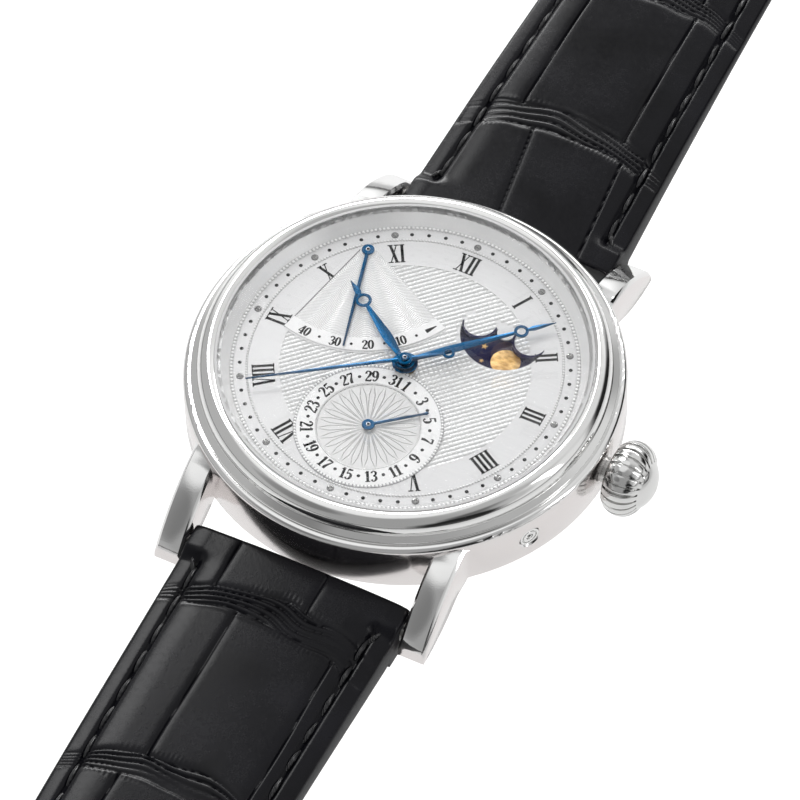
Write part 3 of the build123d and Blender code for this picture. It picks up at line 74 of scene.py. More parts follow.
def clockPoint(radius, degrees, centre=(0, 0)):
    angle = math.radians(90 - degrees)
    return centre[0] + radius * math.cos(angle), centre[1] + radius * math.sin(angle)


# ---- mesh helpers: every shape is (points, faces) in millimetres


def joined(shapes):
    points = []
    faces = []
    count = 0
    for somePoints, someFaces in shapes:
        points.append(np.asarray(somePoints, float).reshape(-1, 3))
        faces += [[index + count for index in face] for face in someFaces]
        count += len(somePoints)
    return np.concatenate(points), faces


def placed(shape, degrees=0.0, shift=(0, 0, 0)):
    # turned anticlockwise about the vertical, then moved
    points = np.asarray(shape[0], float)
    turn = math.radians(degrees)
    spin = np.array([[math.cos(turn), math.sin(turn), 0], [-math.sin(turn), math.cos(turn), 0], [0, 0, 1]])
    return points @ spin + np.array(shift), shape[1]


def sheetFaces(rows, columns, closeRows=False, closeColumns=False):
    faces = []
    for row in range(rows if closeRows else rows - 1):
        nextRow = (row + 1) % rows
        for column in range(columns if closeColumns else columns - 1):
            nextColumn = (column + 1) % columns
            faces.append([
                row * columns + column,
                row * columns + nextColumn,
                nextRow * columns + nextColumn,
                nextRow * columns + column,
            ])
    return faces


def prism(outline, low, high):
    count = len(outline)
    points = [(x, y, low) for x, y in outline] + [(x, y, high) for x, y in outline]
    faces = [list(range(count))[::-1], list(range(count, 2 * count))]
    for index in range(count):
        after = (index + 1) % count
        faces.append([index, after, after + count, index + count])
    return points, faces


def lathe(profile, sides, centre=(0, 0)):
    # closed ring of revolution about the vertical; a profile point on the axis is allowed
    points = []
    for radius, height in profile:
        for side in range(sides):
            angle = 2 * math.pi * side / sides
            points.append((centre[0] + radius * math.cos(angle), centre[1] + radius * math.sin(angle),
                           height))
    return points, sheetFaces(len(profile), sides, closeColumns=True)


def dome(x, y, radius, low, height, sides=8):
    # small bead: two rings and a top point
    points = []
    for share, rise in ((1.0, 0.0), (0.75, 0.66)):
        for side in range(sides):
            angle = 2 * math.pi * side / sides
            points.append((x + radius * share * math.cos(angle), y + radius * share * math.sin(angle),
                           low + height * rise))
    points.append((x, y, low + height))
    faces = sheetFaces(2, sides, closeColumns=True)
    faces += [[sides + side, sides + (side + 1) % sides, 2 * sides] for side in range(sides)]
    return points, faces


def smoothLine(points, steps=7):
    # points of a line through the given points, rounded between them
    points = np.asarray(points, float)
    ends = np.vstack([2 * points[0] - points[1], points, 2 * points[-1] - points[-2]])
    line = []
    for index in range(1, len(ends) - 2):
        a, b, c, d = ends[index - 1:index + 3]
        for step in range(steps):
            t = step / steps
            line.append(0.5 * (2 * b + (c - a) * t + (2 * a - 5 * b + 4 * c - d) * t ** 2
                               + (3 * b - a - 3 * c + d) * t ** 3))
    line.append(points[-1])
    return np.array(line)


def ribbon(line, low, high):
    # flat stroke along a line of (x, y, half width)
    line = np.asarray(line, float)
    run = np.gradient(line[:, :2], axis=0)
    run /= np.maximum(np.linalg.norm(run, axis=1, keepdims=True), 1e-9)
    side = np.stack([-run[:, 1], run[:, 0]], 1) * line[:, 2:3]
    left = line[:, :2] + side
    right = line[:, :2] - side
    outline = [tuple(p) for p in right] + [tuple(p) for p in left[::-1]]
    count = len(line)
    points = [(x, y, low) for x, y in outline] + [(x, y, high) for x, y in outline]
    whole = 2 * count
    faces = []
    for index in range(count - 1):
        other = whole - 1 - index
        faces.append([index + whole, index + 1 + whole, other - 1 + whole, other + whole])
        faces.append([other, other - 1, index + 1, index])
    for index in range(whole):
        after = (index + 1) % whole
        faces.append([index, after, after + whole, index + whole])
    return points, faces


def tube(path, radii, sides=6):
    # closed tube along a path, thinned to its radii
    path = np.asarray(path, float)
    run = np.gradient(path, axis=0)
    run /= np.maximum(np.linalg.norm(run, axis=1, keepdims=True), 1e-9)
    up = np.array([0.0, 0.0, 1.0])
    points = []
    for place, direction, radius in zip(path, run, radii):
        across = np.cross(direction, up)
        across /= max(np.linalg.norm(across), 1e-9)
        over = np.cross(across, direction)
        for side in range(sides):
            angle = 2 * math.pi * side / sides
            points.append(place + radius * (math.cos(angle) * across + math.sin(angle) * over))
    faces = sheetFaces(len(path), sides, closeColumns=True)
    last = (len(path) - 1) * sides
    faces.append(list(range(sides))[::-1])
    faces.append(list(range(last, last + sides)))
    return points, faces


def addPiece(name, shape, finish, body, edgeAngle=30):
    points, faces = shape
    mesh = bpy.data.meshes.new(name)
    mesh.from_pydata((np.asarray(points, float) * mm).tolist(), [], [list(face) for face in faces])
    mesh.polygons.foreach_set("use_smooth", [True] * len(mesh.polygons))
    mesh.set_sharp_from_angle(angle=math.radians(edgeAngle))
    mesh.materials.append(finishes[finish])
    piece = bpy.data.objects.new(name, mesh)
    scene.collection.objects.link(piece)
    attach(piece, body)
    return piece


def smoothNoise(x, y, seed, octaves=3):
    # repeatable soft noise from layered sines, about -1 to 1
    chance = np.random.default_rng(seed)
    total = np.zeros(np.broadcast(x, y).shape)
    size = 1.0
    for _ in range(octaves):
        for _ in range(3):
            angle, phase, stretch = chance.uniform(0, 2 * math.pi, 3)
            spread = 0.7 + 0.1 * stretch
            along = (x * math.cos(angle) + y * math.sin(angle)) * spread / size ** 0.9
            total += size * np.sin(along + phase)
        size *= 0.5
    return total / 4.0


# ---- materials


def newMaterial(name, fixed):
    material = bpy.data.materials.new(name)
    material.use_nodes = True
    shader = material.node_tree.nodes["Principled BSDF"]
    for socket, value in fixed.items():
        shader.inputs[socket].default_value = value
    return material, shader


def addNode(tree, kind, inputs, output=0, **settings):
    # each input is another node's output or a fixed value
    node = tree.nodes.new("ShaderNode" + kind)
    for setting, value in settings.items():
        setattr(node, setting, value)
    for socket, value in inputs.items():
        if isinstance(value, bpy.types.NodeSocket):
            tree.links.new(value, node.inputs[socket])
        else:
            node.inputs[socket].default_value = value
    return node.outputs[output]


def patternPlace(tree, stretch=(1, 1, 1), turn=0.0):
    # the piece's own coordinates, in millimetres times the stretch
    point = addNode(tree, "TexCoord", {}, "Object")
    scale = [value / mm for value in stretch]
    return addNode(tree, "Mapping", {"Vector": point, "Scale": scale, "Rotation": (0, 0, turn)}, "Vector")


def noiseOf(tree, scale, detail=3.0, stretch=(1, 1, 1), turn=0.0, roughness=0.5):
    inputs = {"Vector": patternPlace(tree, stretch, turn), "Scale": scale, "Detail": detail,
              "Roughness": roughness}
    return addNode(tree, "TexNoise", inputs, "Fac")


def wavesOf(tree, scale, stretch=(1, 1, 1), turn=0.0, distortion=0.0, **settings):
    inputs = {"Vector": patternPlace(tree, stretch, turn), "Scale": scale, "Distortion": distortion,
              "Detail": 2.0}
    return addNode(tree, "TexWave", inputs, "Fac", **settings)


def cellsOf(tree, scale, chance=1.0):
    inputs = {"Vector": patternPlace(tree), "Scale": scale, "Randomness": chance}
    return addNode(tree, "TexVoronoi", inputs, "Distance")


def mapped(tree, value, low, high, start=0.0, end=1.0, **settings):
    inputs = {"Value": value, "From Min": start, "From Max": end, "To Min": low, "To Max": high}
    return addNode(tree, "MapRange", inputs, "Result", **settings)


def calculated(tree, operation, first, second=0.0):
    return addNode(tree, "Math", {0: first, 1: second}, operation=operation)


def blended(tree, share, first, second):
    return addNode(tree, "Mix", {"Factor": share, 6: first, 7: second}, 2, data_type="RGBA")


def heightOf(tree, source):
    # the z part of the surface's direction or of its place
    return addNode(tree, "SeparateXYZ", {"Vector": addNode(tree, "TexCoord", {}, source)}, "Z")


def relief(tree, shader, height, depth):
    # depth in millimetres, on top of any relief already there
    inputs = {"Distance": depth * mm, "Strength": 1.0, "Height": height}
    if shader.inputs["Normal"].links:
        inputs["Normal"] = shader.inputs["Normal"].links[0].from_socket
    tree.links.new(addNode(tree, "Bump", inputs, "Normal"), shader.inputs["Normal"])


def patternedFinish(name, look):
    # colour, roughness and relief follow the finish's own patterns;
    # two numbers at the end of a row are the part of the pattern that it uses
    material, shader = newMaterial(name, look["fixed"])
    tree = material.node_tree
    makers = {"noise": noiseOf, "waves": wavesOf, "cells": cellsOf}
    patterns = {key: makers[kind](tree, **values) for key, (kind, values) in look["patterns"].items()}
    if "color" in look:
        key, dark, pale, *reach = look["color"]
        share = mapped(tree, patterns[key], 0.0, 1.0, *reach)
        tree.links.new(blended(tree, share, (*dark, 1), (*pale, 1)), shader.inputs["Base Color"])
    if "roughness" in look:
        key, low, high, *reach = look["roughness"]
        tree.links.new(mapped(tree, patterns[key], low, high, *reach), shader.inputs["Roughness"])
    for key, depth in look.get("relief", {}).items():
        relief(tree, shader, patterns[key], depth)
    return material


def polishedSteel(name, tone):
    return patternedFinish(name, {
        "fixed": {"Metallic": 1.0},
        "patterns": {
            "haze": ("noise", {"scale": 0.35, "detail": 4.0}),
            "cloud": ("noise", {"scale": 0.12, "detail": 2.0}),
            "hairlines": ("noise", {"scale": 1.0, "detail": 2.0, "stretch": (0.4, 9.0, 0.8), "turn": 0.6}),
        },
        "color": ("cloud", (tone - 0.03, tone - 0.03, tone - 0.035),
                  (tone + 0.03, tone + 0.03, tone + 0.02)),
        "roughness": ("haze", 0.035, 0.085, 0.3, 0.7),
        "relief": {"hairlines": 0.0006},
    })


def brushedSteel(name, color, stretch):
    return patternedFinish(name, {
        "fixed": {"Metallic": 1.0},
        "patterns": {"lines": ("noise", {"scale": 1.0, "stretch": stretch})},
        "color": ("lines", tuple(0.86 * value for value in color), color),
        "roughness": ("lines", 0.2, 0.38, 0.3, 0.7),
        "relief": {"lines": 0.004},
    })


def edgePaint(name, dark, pale):
    # painted shadow: a dark or grey line that stands in for the shade along a step or round a part
    return patternedFinish(name, {
        "fixed": {"Roughness": 0.5, "Metallic": 0.4},
        "patterns": {"grain": ("noise", {"scale": 5.0})},
        "color": ("grain", (dark, dark, dark * 1.04), (pale, pale, pale * 1.03)),
    })


def caseSteel():
    # polished on the tops, with a soft satin on the upright walls; the walls are also painted darker and
    # warmer than the tops, a painted shade that follows which way the surface faces
    material, shader = newMaterial("case_steel", {"Metallic": 1.0})
    tree = material.node_tree
    level = calculated(tree, "ABSOLUTE", heightOf(tree, "Normal"))
    satin = mapped(tree, level, 0.17, 0.05, 0.15, 0.6)
    haze = mapped(tree, noiseOf(tree, 0.4, 4.0), -0.02, 0.025, 0.3, 0.7)
    tree.links.new(calculated(tree, "ADD", satin, haze), shader.inputs["Roughness"])
    relief(tree, shader, noiseOf(tree, 7.0, 2.0), 0.0022)
    # painted shade: the colour darkens and warms as the surface turns upright
    share = mapped(tree, level, 0.0, 1.0, 0.15, 0.6)
    color = blended(tree, share, (0.79, 0.755, 0.745, 1), (0.83, 0.83, 0.825, 1))
    tree.links.new(color, shader.inputs["Base Color"])
    return material


def cutSilver(name, low, high, dark, pale, power):
    # painted shade: the colour is darker towards the bottom of its cuts and the foot of its beads, where
    # shade falls; low and high are heights in millimetres
    material, shader = newMaterial(name, {"Metallic": 0.2})
    tree = material.node_tree
    tree.links.new(mapped(tree, noiseOf(tree, 9.0, 2.0), 0.28, 0.4, 0.3, 0.7), shader.inputs["Roughness"])
    cloud = mapped(tree, noiseOf(tree, 0.4, 2.0), 0.0, 0.25)
    share = calculated(tree, "POWER", mapped(tree, heightOf(tree, "Object"), 0.0, 1.0, low * mm, high * mm),
                       power)
    tone = blended(tree, share, (dark, dark, dark * 1.01, 1), (pale, pale, pale, 1))
    tree.links.new(blended(tree, cloud, tone, (0.84, 0.84, 0.835, 1)), shader.inputs["Base Color"])
    return material


def clearGlass():
    # clear on the faces and milky on the ground rim
    fixed = {"Base Color": (0.97, 0.98, 0.98, 1), "IOR": 1.5, "Transmission Weight": 1.0,
             "Specular IOR Level": 0.04}
    material, shader = newMaterial("clear_glass", fixed)
    tree = material.node_tree
    level = calculated(tree, "ABSOLUTE", heightOf(tree, "Normal"))
    tree.links.new(mapped(tree, level, 0.16, 0.05, 0.8, 0.985), shader.inputs["Alpha"])
    tree.links.new(mapped(tree, noiseOf(tree, 0.15), 0.0, 0.04, 0.35, 0.7), shader.inputs["Roughness"])
    return material


def stripedPlate(name, turn):
    # rhodium plate with broad polishing stripes
    material, shader = newMaterial(name, {"Metallic": 1.0})
    tree = material.node_tree
    bands = wavesOf(tree, 0.16, turn=turn, wave_profile="SAW")
    lines = noiseOf(tree, 1.0, 2.0, (9.0, 0.6, 1.0), turn)
    tree.links.new(blended(tree, bands, (0.52, 0.52, 0.50, 1), (0.80, 0.80, 0.78, 1)),
                   shader.inputs["Base Color"])
    tree.links.new(mapped(tree, calculated(tree, "MULTIPLY", bands, lines), 0.16, 0.42),
                   shader.inputs["Roughness"])
    relief(tree, shader, bands, 0.05)
    relief(tree, shader, lines, 0.004)
    return material


def circledPlate():
    # rhodium plate covered in small overlapping polished circles
    material, shader = newMaterial("circled_plate", {"Metallic": 1.0})
    tree = material.node_tree
    cells = cellsOf(tree, 1.1, 0.15)
    rings = calculated(tree, "SINE", calculated(tree, "MULTIPLY", cells, 60.0))
    tree.links.new(blended(tree, cells, (0.78, 0.78, 0.76, 1), (0.50, 0.50, 0.48, 1)),
                   shader.inputs["Base Color"])
    tree.links.new(mapped(tree, cells, 0.2, 0.45), shader.inputs["Roughness"])
    relief(tree, shader, rings, 0.004)
    return material


def alligatorLeather():
    material, shader = newMaterial("alligator_leather", {"Specular IOR Level": 0.17})
    tree = material.node_tree
    grain = noiseOf(tree, 2.2, 5.0, roughness=0.65)
    wear = noiseOf(tree, 0.16, 4.0)
    color = blended(tree, mapped(tree, wear, 0.0, 1.0, 0.3, 0.7),
                    (0.002, 0.002, 0.003, 1), (0.005, 0.005, 0.0075, 1))
    tree.links.new(color, shader.inputs["Base Color"])
    gloss = mapped(tree, calculated(tree, "ADD", grain, wear), 0.2, 0.3, 0.7, 1.3)
    tree.links.new(gloss, shader.inputs["Roughness"])
    pores = calculated(tree, "MULTIPLY", cellsOf(tree, 5.5), 0.4)
    relief(tree, shader, calculated(tree, "ADD", pores, grain), 0.007)
    return material


def paintedEdge():
    material, shader = newMaterial("painted_leather_edge", {"Roughness": 0.5, "Specular IOR Level": 0.25})
    tree = material.node_tree
    layers = wavesOf(tree, 1.0, (0.2, 0.2, 1.6), distortion=1.2, bands_direction="Z")
    grain = noiseOf(tree, 3.5, 4.0)
    share = calculated(tree, "MULTIPLY", layers, grain)
    color = blended(tree, share, (0.010, 0.010, 0.011, 1), (0.038, 0.038, 0.042, 1))
    tree.links.new(color, shader.inputs["Base Color"])
    relief(tree, shader, grain, 0.03)
    return material


finishLooks = {
    "dial": ("silvered_dial", {
        "fixed": {"Metallic": 0.25},
        "patterns": {"strokes": ("noise", {"scale": 1.0, "stretch": (0.35, 16.0, 1.0)})},
        "color": ("strokes", (0.58, 0.58, 0.59), (0.71, 0.71, 0.71)),
        "roughness": ("strokes", 0.36, 0.48, 0.3, 0.7), "relief": {"strokes": 0.003},
    }),
    "lacquer": ("white_lacquer", {
        "fixed": {"Roughness": 0.45}, "patterns": {"grain": ("noise", {"scale": 2.5})},
        "color": ("grain", (0.87, 0.87, 0.875), (0.94, 0.94, 0.94)), "relief": {"grain": 0.0015},
    }),
    "ink": ("black_print", {
        "fixed": {"Specular IOR Level": 0.0},
        "patterns": {"grain": ("noise", {"scale": 12.0, "detail": 2.0})},
        "color": ("grain", (0.001, 0.001, 0.0012), (0.003, 0.003, 0.0035)),
        "roughness": ("grain", 0.3, 0.5, 0.3, 0.7),
    }),
    "blued": ("blued_steel", {
        "fixed": {"Metallic": 1.0},
        "patterns": {"tone": ("noise", {"scale": 0.35}), "haze": ("noise", {"scale": 1.2, "detail": 2.0})},
        "color": ("tone", (0.0005, 0.048, 0.125), (0.001, 0.074, 0.178)), "roughness": ("haze", 0.26, 0.36),
    }),
    "night": ("night_lacquer", {
        "fixed": {"Roughness": 0.5, "Specular IOR Level": 0.05},
        "patterns": {
            "cloud": ("noise", {"scale": 0.8, "detail": 4.0}),
            "grain": ("noise", {"scale": 8.0, "detail": 2.0}),
        },
        "color": ("cloud", (0.010, 0.009, 0.035), (0.030, 0.026, 0.085)), "relief": {"grain": 0.0015},
    }),
    "moon": ("gilded_moon", {
        "fixed": {"Metallic": 0.45, "Roughness": 0.4},
        "patterns": {
            "mottle": ("noise", {"scale": 1.1, "detail": 4.0, "stretch": (1.0, 2.2, 1.0), "turn": -0.5,
                                 "roughness": 0.6}),
            "grain": ("noise", {"scale": 5.0}),
        },
        "color": ("mottle", (0.50, 0.27, 0.08), (0.93, 0.62, 0.25), 0.38, 0.62), "relief": {"grain": 0.006},
    }),
    "nylon": ("nylon_seal", {
        "fixed": {"Roughness": 0.4, "Specular IOR Level": 0.3},
        "patterns": {"grain": ("noise", {"scale": 6.0})},
        "color": ("grain", (0.56, 0.56, 0.565), (0.7, 0.7, 0.7)), "relief": {"grain": 0.005},
    }),
    "satin": ("satin_ring", {
        "fixed": {"Metallic": 0.3}, "patterns": {"grain": ("noise", {"scale": 0.5, "detail": 2.0})},
        "color": ("grain", (0.87, 0.87, 0.875), (0.94, 0.94, 0.935)),
        "roughness": ("grain", 0.18, 0.26, 0.3, 0.7),
    }),
    "rubber": ("black_rubber", {
        "fixed": {"Base Color": (0.018, 0.018, 0.018, 1)},
        "patterns": {"grain": ("noise", {"scale": 6.0})},
        "roughness": ("grain", 0.5, 0.7), "relief": {"grain": 0.01},
    }),
    "gilt": ("gilt_brass", {
        "fixed": {"Metallic": 1.0},
        "patterns": {
            "rings": ("waves", {"scale": 3.0, "distortion": 1.5, "wave_type": "RINGS",
                                "rings_direction": "Z"}),
            "tone": ("noise", {"scale": 0.5}),
        },
        "color": ("tone", (0.70, 0.48, 0.18), (0.88, 0.66, 0.30)),
        "roughness": ("rings", 0.18, 0.32), "relief": {"rings": 0.002},
    }),
    "ruby": ("ruby", {
        "fixed": {"Roughness": 0.06, "Coat Weight": 0.6, "IOR": 1.76},
        "patterns": {"tone": ("noise", {"scale": 1.5, "detail": 2.0})},
        "color": ("tone", (0.30, 0.002, 0.02), (0.62, 0.01, 0.06)),
    }),
    "lining": ("lining_leather", {
        "fixed": {"Sheen Weight": 0.15},
        "patterns": {
            "grain": ("noise", {"scale": 3.0, "detail": 5.0, "roughness": 0.6}),
            "pores": ("cells", {"scale": 4.0}), "wear": ("noise", {"scale": 0.3}),
        },
        "color": ("wear", (0.022, 0.017, 0.014), (0.048, 0.037, 0.030)),
        "roughness": ("grain", 0.5, 0.68), "relief": {"pores": 0.02, "grain": 0.02},
    }),
    "thread": ("waxed_thread", {
        "fixed": {"Roughness": 0.38},
        "patterns": {"twist": ("waves", {"scale": 2.2, "turn": 0.6, "distortion": 0.4,
                                         "bands_direction": "DIAGONAL"})},
        "color": ("twist", (0.003, 0.003, 0.004), (0.014, 0.014, 0.016)), "relief": {"twist": 0.05},
    }),
}
finishes = {
    "polished": polishedSteel("polished_steel", 0.83),
    # darker copies of the same polished steel: painted shade on the crown and painted dark reflections on
    # the studs
    "crown": polishedSteel("shaded_crown_steel", 0.74),
    "studs": polishedSteel("shaded_stud_steel", 0.42),
    "case": caseSteel(),
    "brushed": brushedSteel("brushed_steel", (0.66, 0.66, 0.65), (0.5, 14.0, 3.0)),
    "gears": brushedSteel("gear_steel", (0.70, 0.70, 0.69), (6.0, 6.0, 6.0)),
    "spring": brushedSteel("spring_steel", (0.42, 0.43, 0.46), (3.0, 3.0, 8.0)),
    # the four cut finishes below carry painted shade, darker down in their cuts
    "hobnail": cutSilver("hobnail_silver", dialTop - 0.075, dialTop + 0.02, 0.5, 0.8, 0.9),
    "waves": cutSilver("engine_turned_silver", dialTop + 0.02, dialTop + 0.065, 0.55, 1.0, 0.7),
    "rays": cutSilver("sunburst_silver", dialTop - 0.13, dialTop - 0.06, 0.17, 0.66, 0.8),
    "beads": cutSilver("beaded_silver", dialTop + 0.01, dialTop + 0.15, 0.25, 1.0, 0.6),
    # painted shadow lines, dark and soft grey
    "shadowLine": edgePaint("painted_dark_shadow_line", 0.05, 0.15),
    "softShadowLine": edgePaint("painted_grey_shadow_line", 0.26, 0.4),
    "glass": clearGlass(),
    "stripes": stripedPlate("striped_plate", 0.5),
    "rotorStripes": stripedPlate("striped_rotor", 1.2),
    "circles": circledPlate(),
    "leather": alligatorLeather(),
    "edge": paintedEdge(),
}
for finishKey, (finishName, finishLook) in finishLooks.items():
    finishes[finishKey] = patternedFinish(finishName, finishLook)
print("materials made:", len(finishes))


# ---- camera, found from the photograph

photoView = {
    "azimuth": 27.89, "elevation": 54.03, "roll": -1.73, "distance": 596.9,
    "focalPixels": 6472.6, "dialPixel": (405.06, 366.33), "photoSide": 800, "sensor": 36.0,
}


def makeCamera(view):
    azimuth = math.radians(view["azimuth"])
    elevation = math.radians(view["elevation"])
    roll = math.radians(view["roll"])
    right = Vector((math.cos(azimuth), math.sin(azimuth), 0))
    back = Vector((
        math.sin(azimuth) * math.cos(elevation), -math.cos(azimuth) * math.cos(elevation),
        math.sin(elevation)
    ))
    up = back.cross(right)
    across = right * math.cos(roll) + up * math.sin(roll)
    upward = up * math.cos(roll) - right * math.sin(roll)
    pixel = view["distance"] / view["focalPixels"]
    middle = view["photoSide"] / 2
    shiftX = (view["dialPixel"][0] - middle) * pixel
    shiftY = (middle - view["dialPixel"][1]) * pixel
    data = bpy.data.cameras.new("photo_camera")
    data.sensor_width = view["sensor"]
    data.lens = view["focalPixels"] / view["photoSide"] * view["sensor"]
    data.clip_start = 0.01
    data.clip_end = 20.0
    camera = bpy.data.objects.new("photo_camera", data)
    scene.collection.objects.link(camera)
    turn = Matrix((across, upward, back)).transposed().to_4x4()
    place = dialCentre + (back * view["distance"] - across * shiftX - upward * shiftY) * mm
    camera.matrix_world = Matrix.Translation(place) @ turn
    scene.camera = camera


makeCamera(photoView)
print("camera set")


# ---- floor, world and lamps

studio = {
    "floorHalf": 3000.0, "floorColor": (0.95, 0.95, 0.95, 1), "floorGlow": 0.31, "floorDrop": 0.15,
    "fill": 0.62, "reflected": 0.5, "darkest": 0.02,
    # what polished metal sees: direction, spread as a cosine (outer, inner) and the change in brightness
    "patches": [
        ((-0.2, 0.0, 0.98), (0.88, 0.95), 0.48),
        ((-0.55, 0.75, 0.3), (0.86, 0.95), 0.55),
        ((0.0, 1.0, 0.3), (0.85, 0.96), 0.25),
        ((0.3, 0.6, 0.75), (0.85, 0.95), 0.3),
        ((0.95, 0.1, 0.3), (0.82, 0.95), 0.35),
        ((0.15, -0.8, 0.6), (0.62, 0.92), -0.12),
        ((-0.4, -0.65, 0.65), (0.93, 0.975), -0.16),
        ((0.75, -0.65, 0.12), (0.9, 0.98), -0.4),
        ((0.8, -0.35, 0.45), (0.9, 0.97), -0.3),
        ((0.6, 0.75, 0.12), (0.9, 0.98), -0.5),
    ],
    "horizon": (-0.05, 0.05),
    "lamps": [
        # name, direction from the watch, distance, size, watts, which surfaces it serves
        ("key_softbox", (-0.75, 0.55, 1.0), 900.0, (340.0, 340.0), 2.4, "all"),
        ("back_strip", (-0.2, 0.9, 0.42), 900.0, (900.0, 110.0), 1.8, "all"),
        ("back_gloss", (-0.55, 0.8, 0.3), 900.0, (500.0, 130.0), 2.8, "glossy"),
        ("right_strip", (0.95, 0.15, 0.5), 900.0, (110.0, 600.0), 0.7, "all"),
        ("front_fill", (0.1, -0.9, 0.45), 900.0, (700.0, 250.0), 0.9, "matt"),
    ],
}


def makeFloor(look):
    half = look["floorHalf"] * mm
    mesh = bpy.data.meshes.new("floor")
    mesh.from_pydata([(-half, -half, 0), (half, -half, 0), (half, half, 0), (-half, half, 0)], [],
                     [(0, 1, 2, 3)])
    material, shader = newMaterial("pale_floor", {
        "Base Color": look["floorColor"], "Emission Color": (1, 1, 1, 1),
        "Roughness": 0.7, "Specular IOR Level": 0.0,
    })
    tree = material.node_tree
    seen = addNode(tree, "LightPath", {}, "Is Camera Ray")
    tree.links.new(calculated(tree, "MULTIPLY", seen, look["floorGlow"]),
                   shader.inputs["Emission Strength"])
    mesh.materials.append(material)
    floor = bpy.data.objects.new("floor", mesh)
    floor.location = (0, 0, cadBounds[0].z - look["floorDrop"])
    scene.collection.objects.link(floor)


def makeWorld(look):
    # white to the camera and through glass, an even fill for matt surfaces, soft patches for polished metal
    world = bpy.data.worlds.new("studio")
    scene.world = world
    world.use_nodes = True
    tree = world.node_tree
    direction = addNode(tree, "TexCoord", {}, "Generated")
    mirror = look["reflected"]
    for toward, (outer, inner), change in look["patches"]:
        inputs = {0: direction, 1: Vector(toward).normalized()}
        dot = addNode(tree, "VectorMath", inputs, "Value", operation="DOT_PRODUCT")
        patch = mapped(tree, dot, 0.0, 1.0, outer, inner, interpolation_type="SMOOTHSTEP")
        mirror = calculated(tree, "ADD", mirror, calculated(tree, "MULTIPLY", patch, change))
    height = addNode(tree, "SeparateXYZ", {"Vector": direction}, "Z")
    above = mapped(tree, height, 0.0, 1.0, *look["horizon"], interpolation_type="SMOOTHSTEP")
    mirror = calculated(tree, "MULTIPLY", calculated(tree, "MAXIMUM", mirror, look["darkest"]), above)
    camera = addNode(tree, "LightPath", {}, "Is Camera Ray")
    transmission = addNode(tree, "LightPath", {}, "Is Transmission Ray")
    glossy = addNode(tree, "LightPath", {}, "Is Glossy Ray")
    matt = calculated(tree, "MULTIPLY", calculated(tree, "SUBTRACT", 1.0, glossy), look["fill"])
    lit = calculated(tree, "ADD", calculated(tree, "MULTIPLY", glossy, mirror), matt)
    strength = calculated(tree, "MAXIMUM", calculated(tree, "MAXIMUM", camera, transmission), lit)
    background = tree.nodes["Background"]
    background.inputs["Color"].default_value = (1, 1, 1, 1)
    tree.links.new(strength, background.inputs["Strength"])


def makeLamps(look):
    for name, direction, distance, size, watts, served in look["lamps"]:
        data = bpy.data.lights.new(name, "AREA")
        data.shape = "RECTANGLE"
        data.size = size[0] * mm
        data.size_y = size[1] * mm
        data.energy = watts
        lamp = bpy.data.objects.new(name, data)
        lamp.visible_diffuse = served != "glossy"
        lamp.visible_glossy = served != "matt"
        away = Vector(direction).normalized()
        lamp.location = dialCentre + away * distance * mm
        lamp.rotation_mode = "QUATERNION"
        lamp.rotation_quaternion = away.to_track_quat("Z", "Y")
        scene.collection.objects.link(lamp)


makeFloor(studio)
makeWorld(studio)
makeLamps(studio)
scene.view_settings.view_transform = "Standard"
print("studio set")


# ---- finishes of the CAD nodes

nodeFinish = {
    "crown": ["crown"],
    "polished": ["bezel", "case_back_ring", "corrector_pusher", "buckle_frame",
                 "buckle_tongue"],
    "case": ["case_middle"],
    "brushed": ["movement_holder", "crown_tube", "winding_stem", "spring_bar_tubes", "buckle_pin",
                "spring_bar_pin_12_right", "spring_bar_pin_12_left", "spring_bar_pin_6_right",
                "spring_bar_pin_6_left", "rotor_bearing"],
    "gears": ["winding_pinion", "sliding_clutch", "crown_wheel", "ratchet_wheel", "barrel_arbor",
              "cannon_pinion", "escape_wheel", "pallet_fork"],
    "spring": ["mainspring"],
    "dial": ["dial"],
    "glass": ["front_crystal", "back_crystal"],
    "rubber": ["back_gasket"],
    "nylon": ["crystal_gasket"],
    "satin": ["rehaut_ring"],
    "circles": ["main_plate", "calendar_plate"],
    "stripes": ["barrel_bridge", "train_bridge", "pallet_bridge", "balance_cock"],
    "rotorStripes": ["rotor"],
    "gilt": ["mainspring_barrel", "centre_wheel", "third_wheel", "fourth_wheel", "balance_wheel",
             "hour_wheel",
             "minute_wheel", "date_wheel"],
    "blued": ["hairspring", "hour_hand", "minute_hand", "seconds_hand", "date_hand", "power_reserve_hand"],
    "night": ["moon_disc"],
    "leather": ["strap_short", "strap_long", "fixed_keeper", "free_keeper"],
    "lining": ["strap_short_lining", "strap_long_lining"],
}
edgeRounding = {
    "case_middle": 0.09, "bezel": 0.04, "crown": 0.09, "buckle_frame": 0.18, "buckle_tongue": 0.12,
    "rotor": 0.05, "barrel_bridge": 0.08, "train_bridge": 0.08, "balance_cock": 0.08, "pallet_bridge": 0.08,
    "case_back_ring": 0.06, "corrector_pusher": 0.025, "ratchet_wheel": 0.03, "crown_wheel": 0.03,
}


def finishNode(name, material):
    node = nodes[name]
    node.data.materials.clear()
    node.data.materials.append(material)
    node.data.polygons.foreach_set("material_index", [0] * len(node.data.polygons))
    node.data.polygons.foreach_set("use_smooth", [True] * len(node.data.polygons))
    weld = node.modifiers.new("weld", "WELD")
    weld.merge_threshold = 0.002 * mm
    if name in edgeRounding:
        bevel = node.modifiers.new("soft_edges", "BEVEL")
        bevel.width = edgeRounding[name] * mm
        bevel.segments = 2
        bevel.limit_method = "ANGLE"
        bevel.angle_limit = math.radians(35)
        bevel.harden_normals = False
    split = node.modifiers.new("crisp_edges", "EDGE_SPLIT")
    split.split_angle = math.radians(32)


for finish, names in nodeFinish.items():
    for nodeName in names:
        finishNode(nodeName, finishes[finish])
print("CAD nodes finished:", sum(len(names) for names in nodeFinish.values()))


# ---- dial

